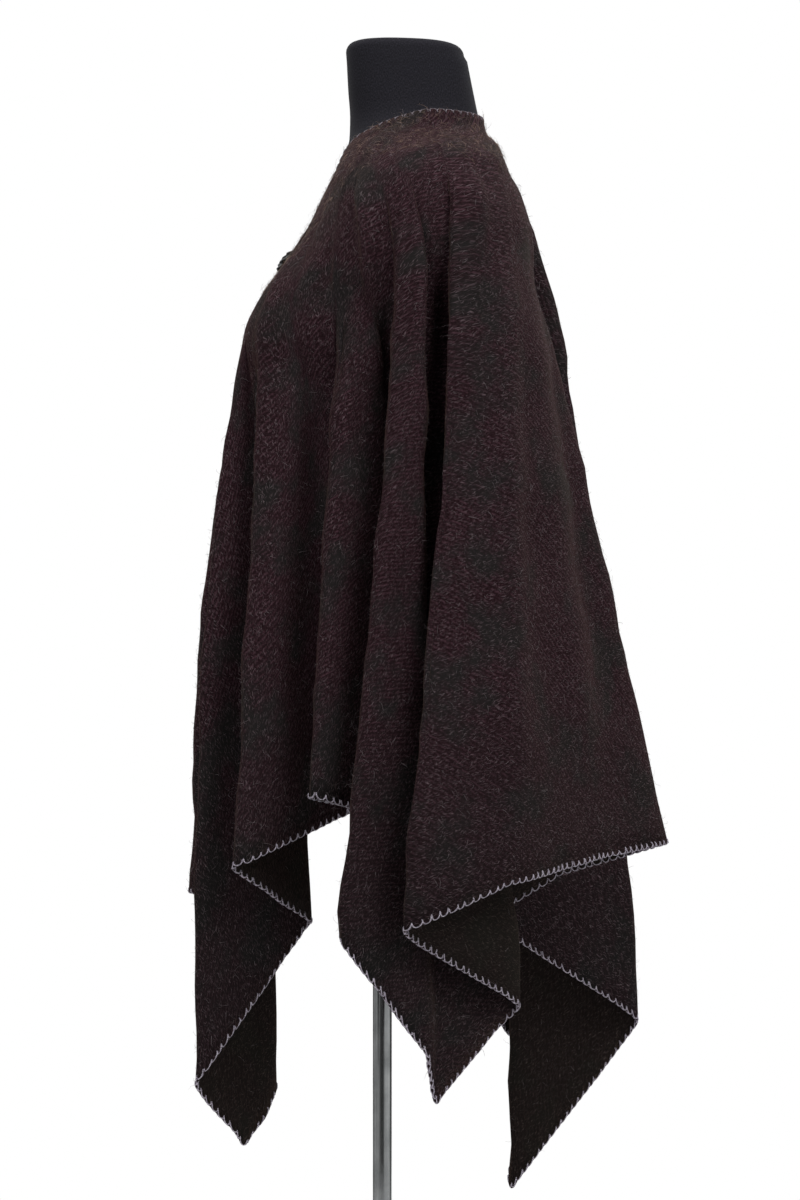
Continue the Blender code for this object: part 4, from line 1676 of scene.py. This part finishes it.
@dataclass
class Studio:
    """Pale floor, white surroundings, soft lamps and the camera at the photograph's place."""

    camera_place: tuple[float, float, float] = (3.2, 0.0184, 0.919)
    field_height: float = 1.248
    """Metres from the bottom to the top of the picture at the pole."""
    sensor: float = 36.0
    floor_radius: float = 1.25
    surround: tuple[tuple[float, float], ...] = (
        (-180, 1.1), (-152, 1.0), (-143, 0.06), (-128, 0.06), (-112, 0.4), (-45, 0.34), (-18, 0.06),
        (14, 0.06), (30, 0.52), (96, 0.6), (112, 0.07), (130, 0.07), (145, 1.0), (180, 1.1),
    )
    """What stands round the room as light: degrees round from the camera, and brightness."""
    levels: tuple[tuple[float, float], ...] = (
        (-1.0, 0.05), (-0.34, 0.1), (-0.22, 0.9), (0.15, 1.0), (0.4, 0.55), (1.0, 0.9),
    )
    """Share of it by the sine of the height above the horizon."""
    target: tuple[float, float, float] = (0.0, 0.03, 1.0)
    lamps: tuple[Lamp, ...] = (
        Lamp("top", (0.3, -0.1, 3.2), 1.8, 14.0),
        Lamp("front_left", (2.4, -1.3, 2.9), 1.5, 27.0),
        Lamp("back_left", (2.1, 1.6, 2.9), 1.5, 22.0),
        Lamp("front_right", (-1.9, -1.5, 2.8), 1.5, 14.0),
        Lamp("back_right", (-1.8, 1.8, 2.8), 1.5, 16.0),
    )

    def add_floor(self, finish: PalePaint) -> bpy.types.Object:
        """A round pale floor with a soft rim, which isn't part of the object.

        Args:
            finish: its paint.

        Returns:
            The object.
        """
        turn = np.arange(160) * 2 * math.pi / 160
        outline = np.stack([np.cos(turn), np.sin(turn), np.zeros(160)], axis=1)
        rings = [
            outline * self.floor_radius + np.array([0, 0, low]) - outline * inset
            for low, inset in ((-0.020, 0.0), (-0.004, 0.0), (-0.0012, 0.0012), (0.0, 0.004), (0.0, 0.5))
        ]
        floor = ring_stack("pale_floor", [ring - np.array([0, 0, 0.0002]) for ring in rings], 40)
        dress(floor, finish.material())
        return floor

    def add_surroundings(self) -> None:
        """Plain white to the eye; as light, a white wall behind the object and a dimmer room round the camera."""
        world = bpy.data.worlds.new("studio_surroundings")
        bpy.context.scene.world = world
        world.use_nodes = True
        tree = world.node_tree
        parts = add_node(tree, "SeparateXYZ", {0: add_node(tree, "TexCoord").outputs["Generated"]})
        place = span(tree, calc(tree, "ARCTAN2", parts.outputs["Y"], parts.outputs["X"]), -math.pi, math.pi)
        room = ramp(tree, place, *(((degrees + 180) / 360, level) for degrees, level in self.surround))
        height = span(tree, parts.outputs["Z"], -1.0, 1.0)
        high = ramp(tree, height, *(((sine + 1) / 2, share) for sine, share in self.levels))
        lit = add_node(tree, "VectorMath", {0: room, 1: high}, operation="MULTIPLY").outputs[0]
        seen = add_node(tree, "LightPath").outputs["Is Camera Ray"]
        fill(tree, tree.nodes["Background"], {"Color": mix(tree, seen, lit, linear("ffffff"))})

    def add_lamps(self) -> None:
        """The soft lamps, all turned to the object."""
        aim = np.array(self.target)
        for lamp in self.lamps:
            data = bpy.data.lights.new(lamp.name, "AREA")
            data.shape = "DISK"
            data.size = lamp.size
            data.energy = lamp.watts
            obj = link(bpy.data.objects.new(lamp.name, data))
            obj.location = lamp.place
            way = aim - np.array(lamp.place)
            flat = math.hypot(way[0], way[1])
            obj.rotation_euler = (math.atan2(flat, -way[2]), 0, math.atan2(way[1], way[0]) - math.pi / 2)
            obj.visible_camera = False

    def add_camera(self) -> None:
        """The camera, level and looking across the wearer from the left."""
        data = bpy.data.cameras.new("camera")
        data.sensor_width = self.sensor
        data.lens = self.sensor * self.camera_place[0] / self.field_height
        data.clip_end = 50
        obj = link(bpy.data.objects.new("camera", data))
        obj.location = self.camera_place
        obj.rotation_euler = (math.radians(90), 0, math.radians(90))
        bpy.context.scene.camera = obj

    def build(self) -> None:
        """Everything round the object."""
        self.add_floor(PalePaint())
        self.add_surroundings()
        self.add_lamps()
        self.add_camera()
        bpy.context.scene.view_settings.view_transform = "Standard"


def report(*pieces: bpy.types.Object) -> None:
    """Writes the pieces' sizes to the log.

    Args:
        pieces: the finished pieces.
    """
    for piece in pieces:
        piece.data.calc_loop_triangles()
        log.info("%s: %d triangles", piece.name, len(piece.data.loop_triangles))


def main() -> None:
    """Builds the form, the cloth with its stitching and fuzz, the clasp, the stand and the studio."""
    logging.basicConfig(level=logging.INFO, format="%(name)s %(message)s", stream=sys.stdout)
    Studio().build()
    form = DressForm()
    form_body = form.build(FormJersey())
    poncho = Poncho(form)
    cloth = poncho.build(WoolTwill(), SHADED_WOOL_REVERSE)
    hem, neck = poncho.edge(-1, -4, -1), poncho.edge(0, 3, 1)
    yarn, neck_yarn = StitchYarn().material(), NECK_YARN.material()
    fuzz = WoolFuzz()
    collar = {"shortest": 0.006, "longest": 0.016, "stand": 0.35, "rows": 15}
    nap = {"shortest": 0.002, "longest": 0.0055, "stand": 2.0, "width": 0.00030}
    trims = [
        BlanketStitch("hem_stitch_outer", Face.OUTER).build(hem, poncho.wall, yarn),
        BlanketStitch("hem_stitch_inner", Face.INNER, seed=4).build(hem, poncho.wall, yarn),
        BlanketStitch("neck_stitch", Face.OUTER, 0.0085, 0.0045, 0.00045, seed=5).build(neck, poncho.wall, neck_yarn),
        Fuzz("fuzz_outer", Face.OUTER, 11500, 21).build(poncho, fuzz),
        Fuzz("fuzz_inner", Face.INNER, 3500, 22).build(poncho, fuzz),
        Fuzz("fuzz_collar", Face.OUTER, 3400, 24, **collar).build(poncho, COLLAR_WOOL),
        Fuzz("nap_outer", Face.OUTER, 12000, 23, **nap).build(poncho, fuzz),
    ]
    clasp = NeckClasp(poncho).build(BlackenedMetal())
    stand = Stand(form.bottom).build(PolishedChrome())
    report(form_body, cloth, *trims, clasp, *stand)


if __name__ == "__main__":
    main()
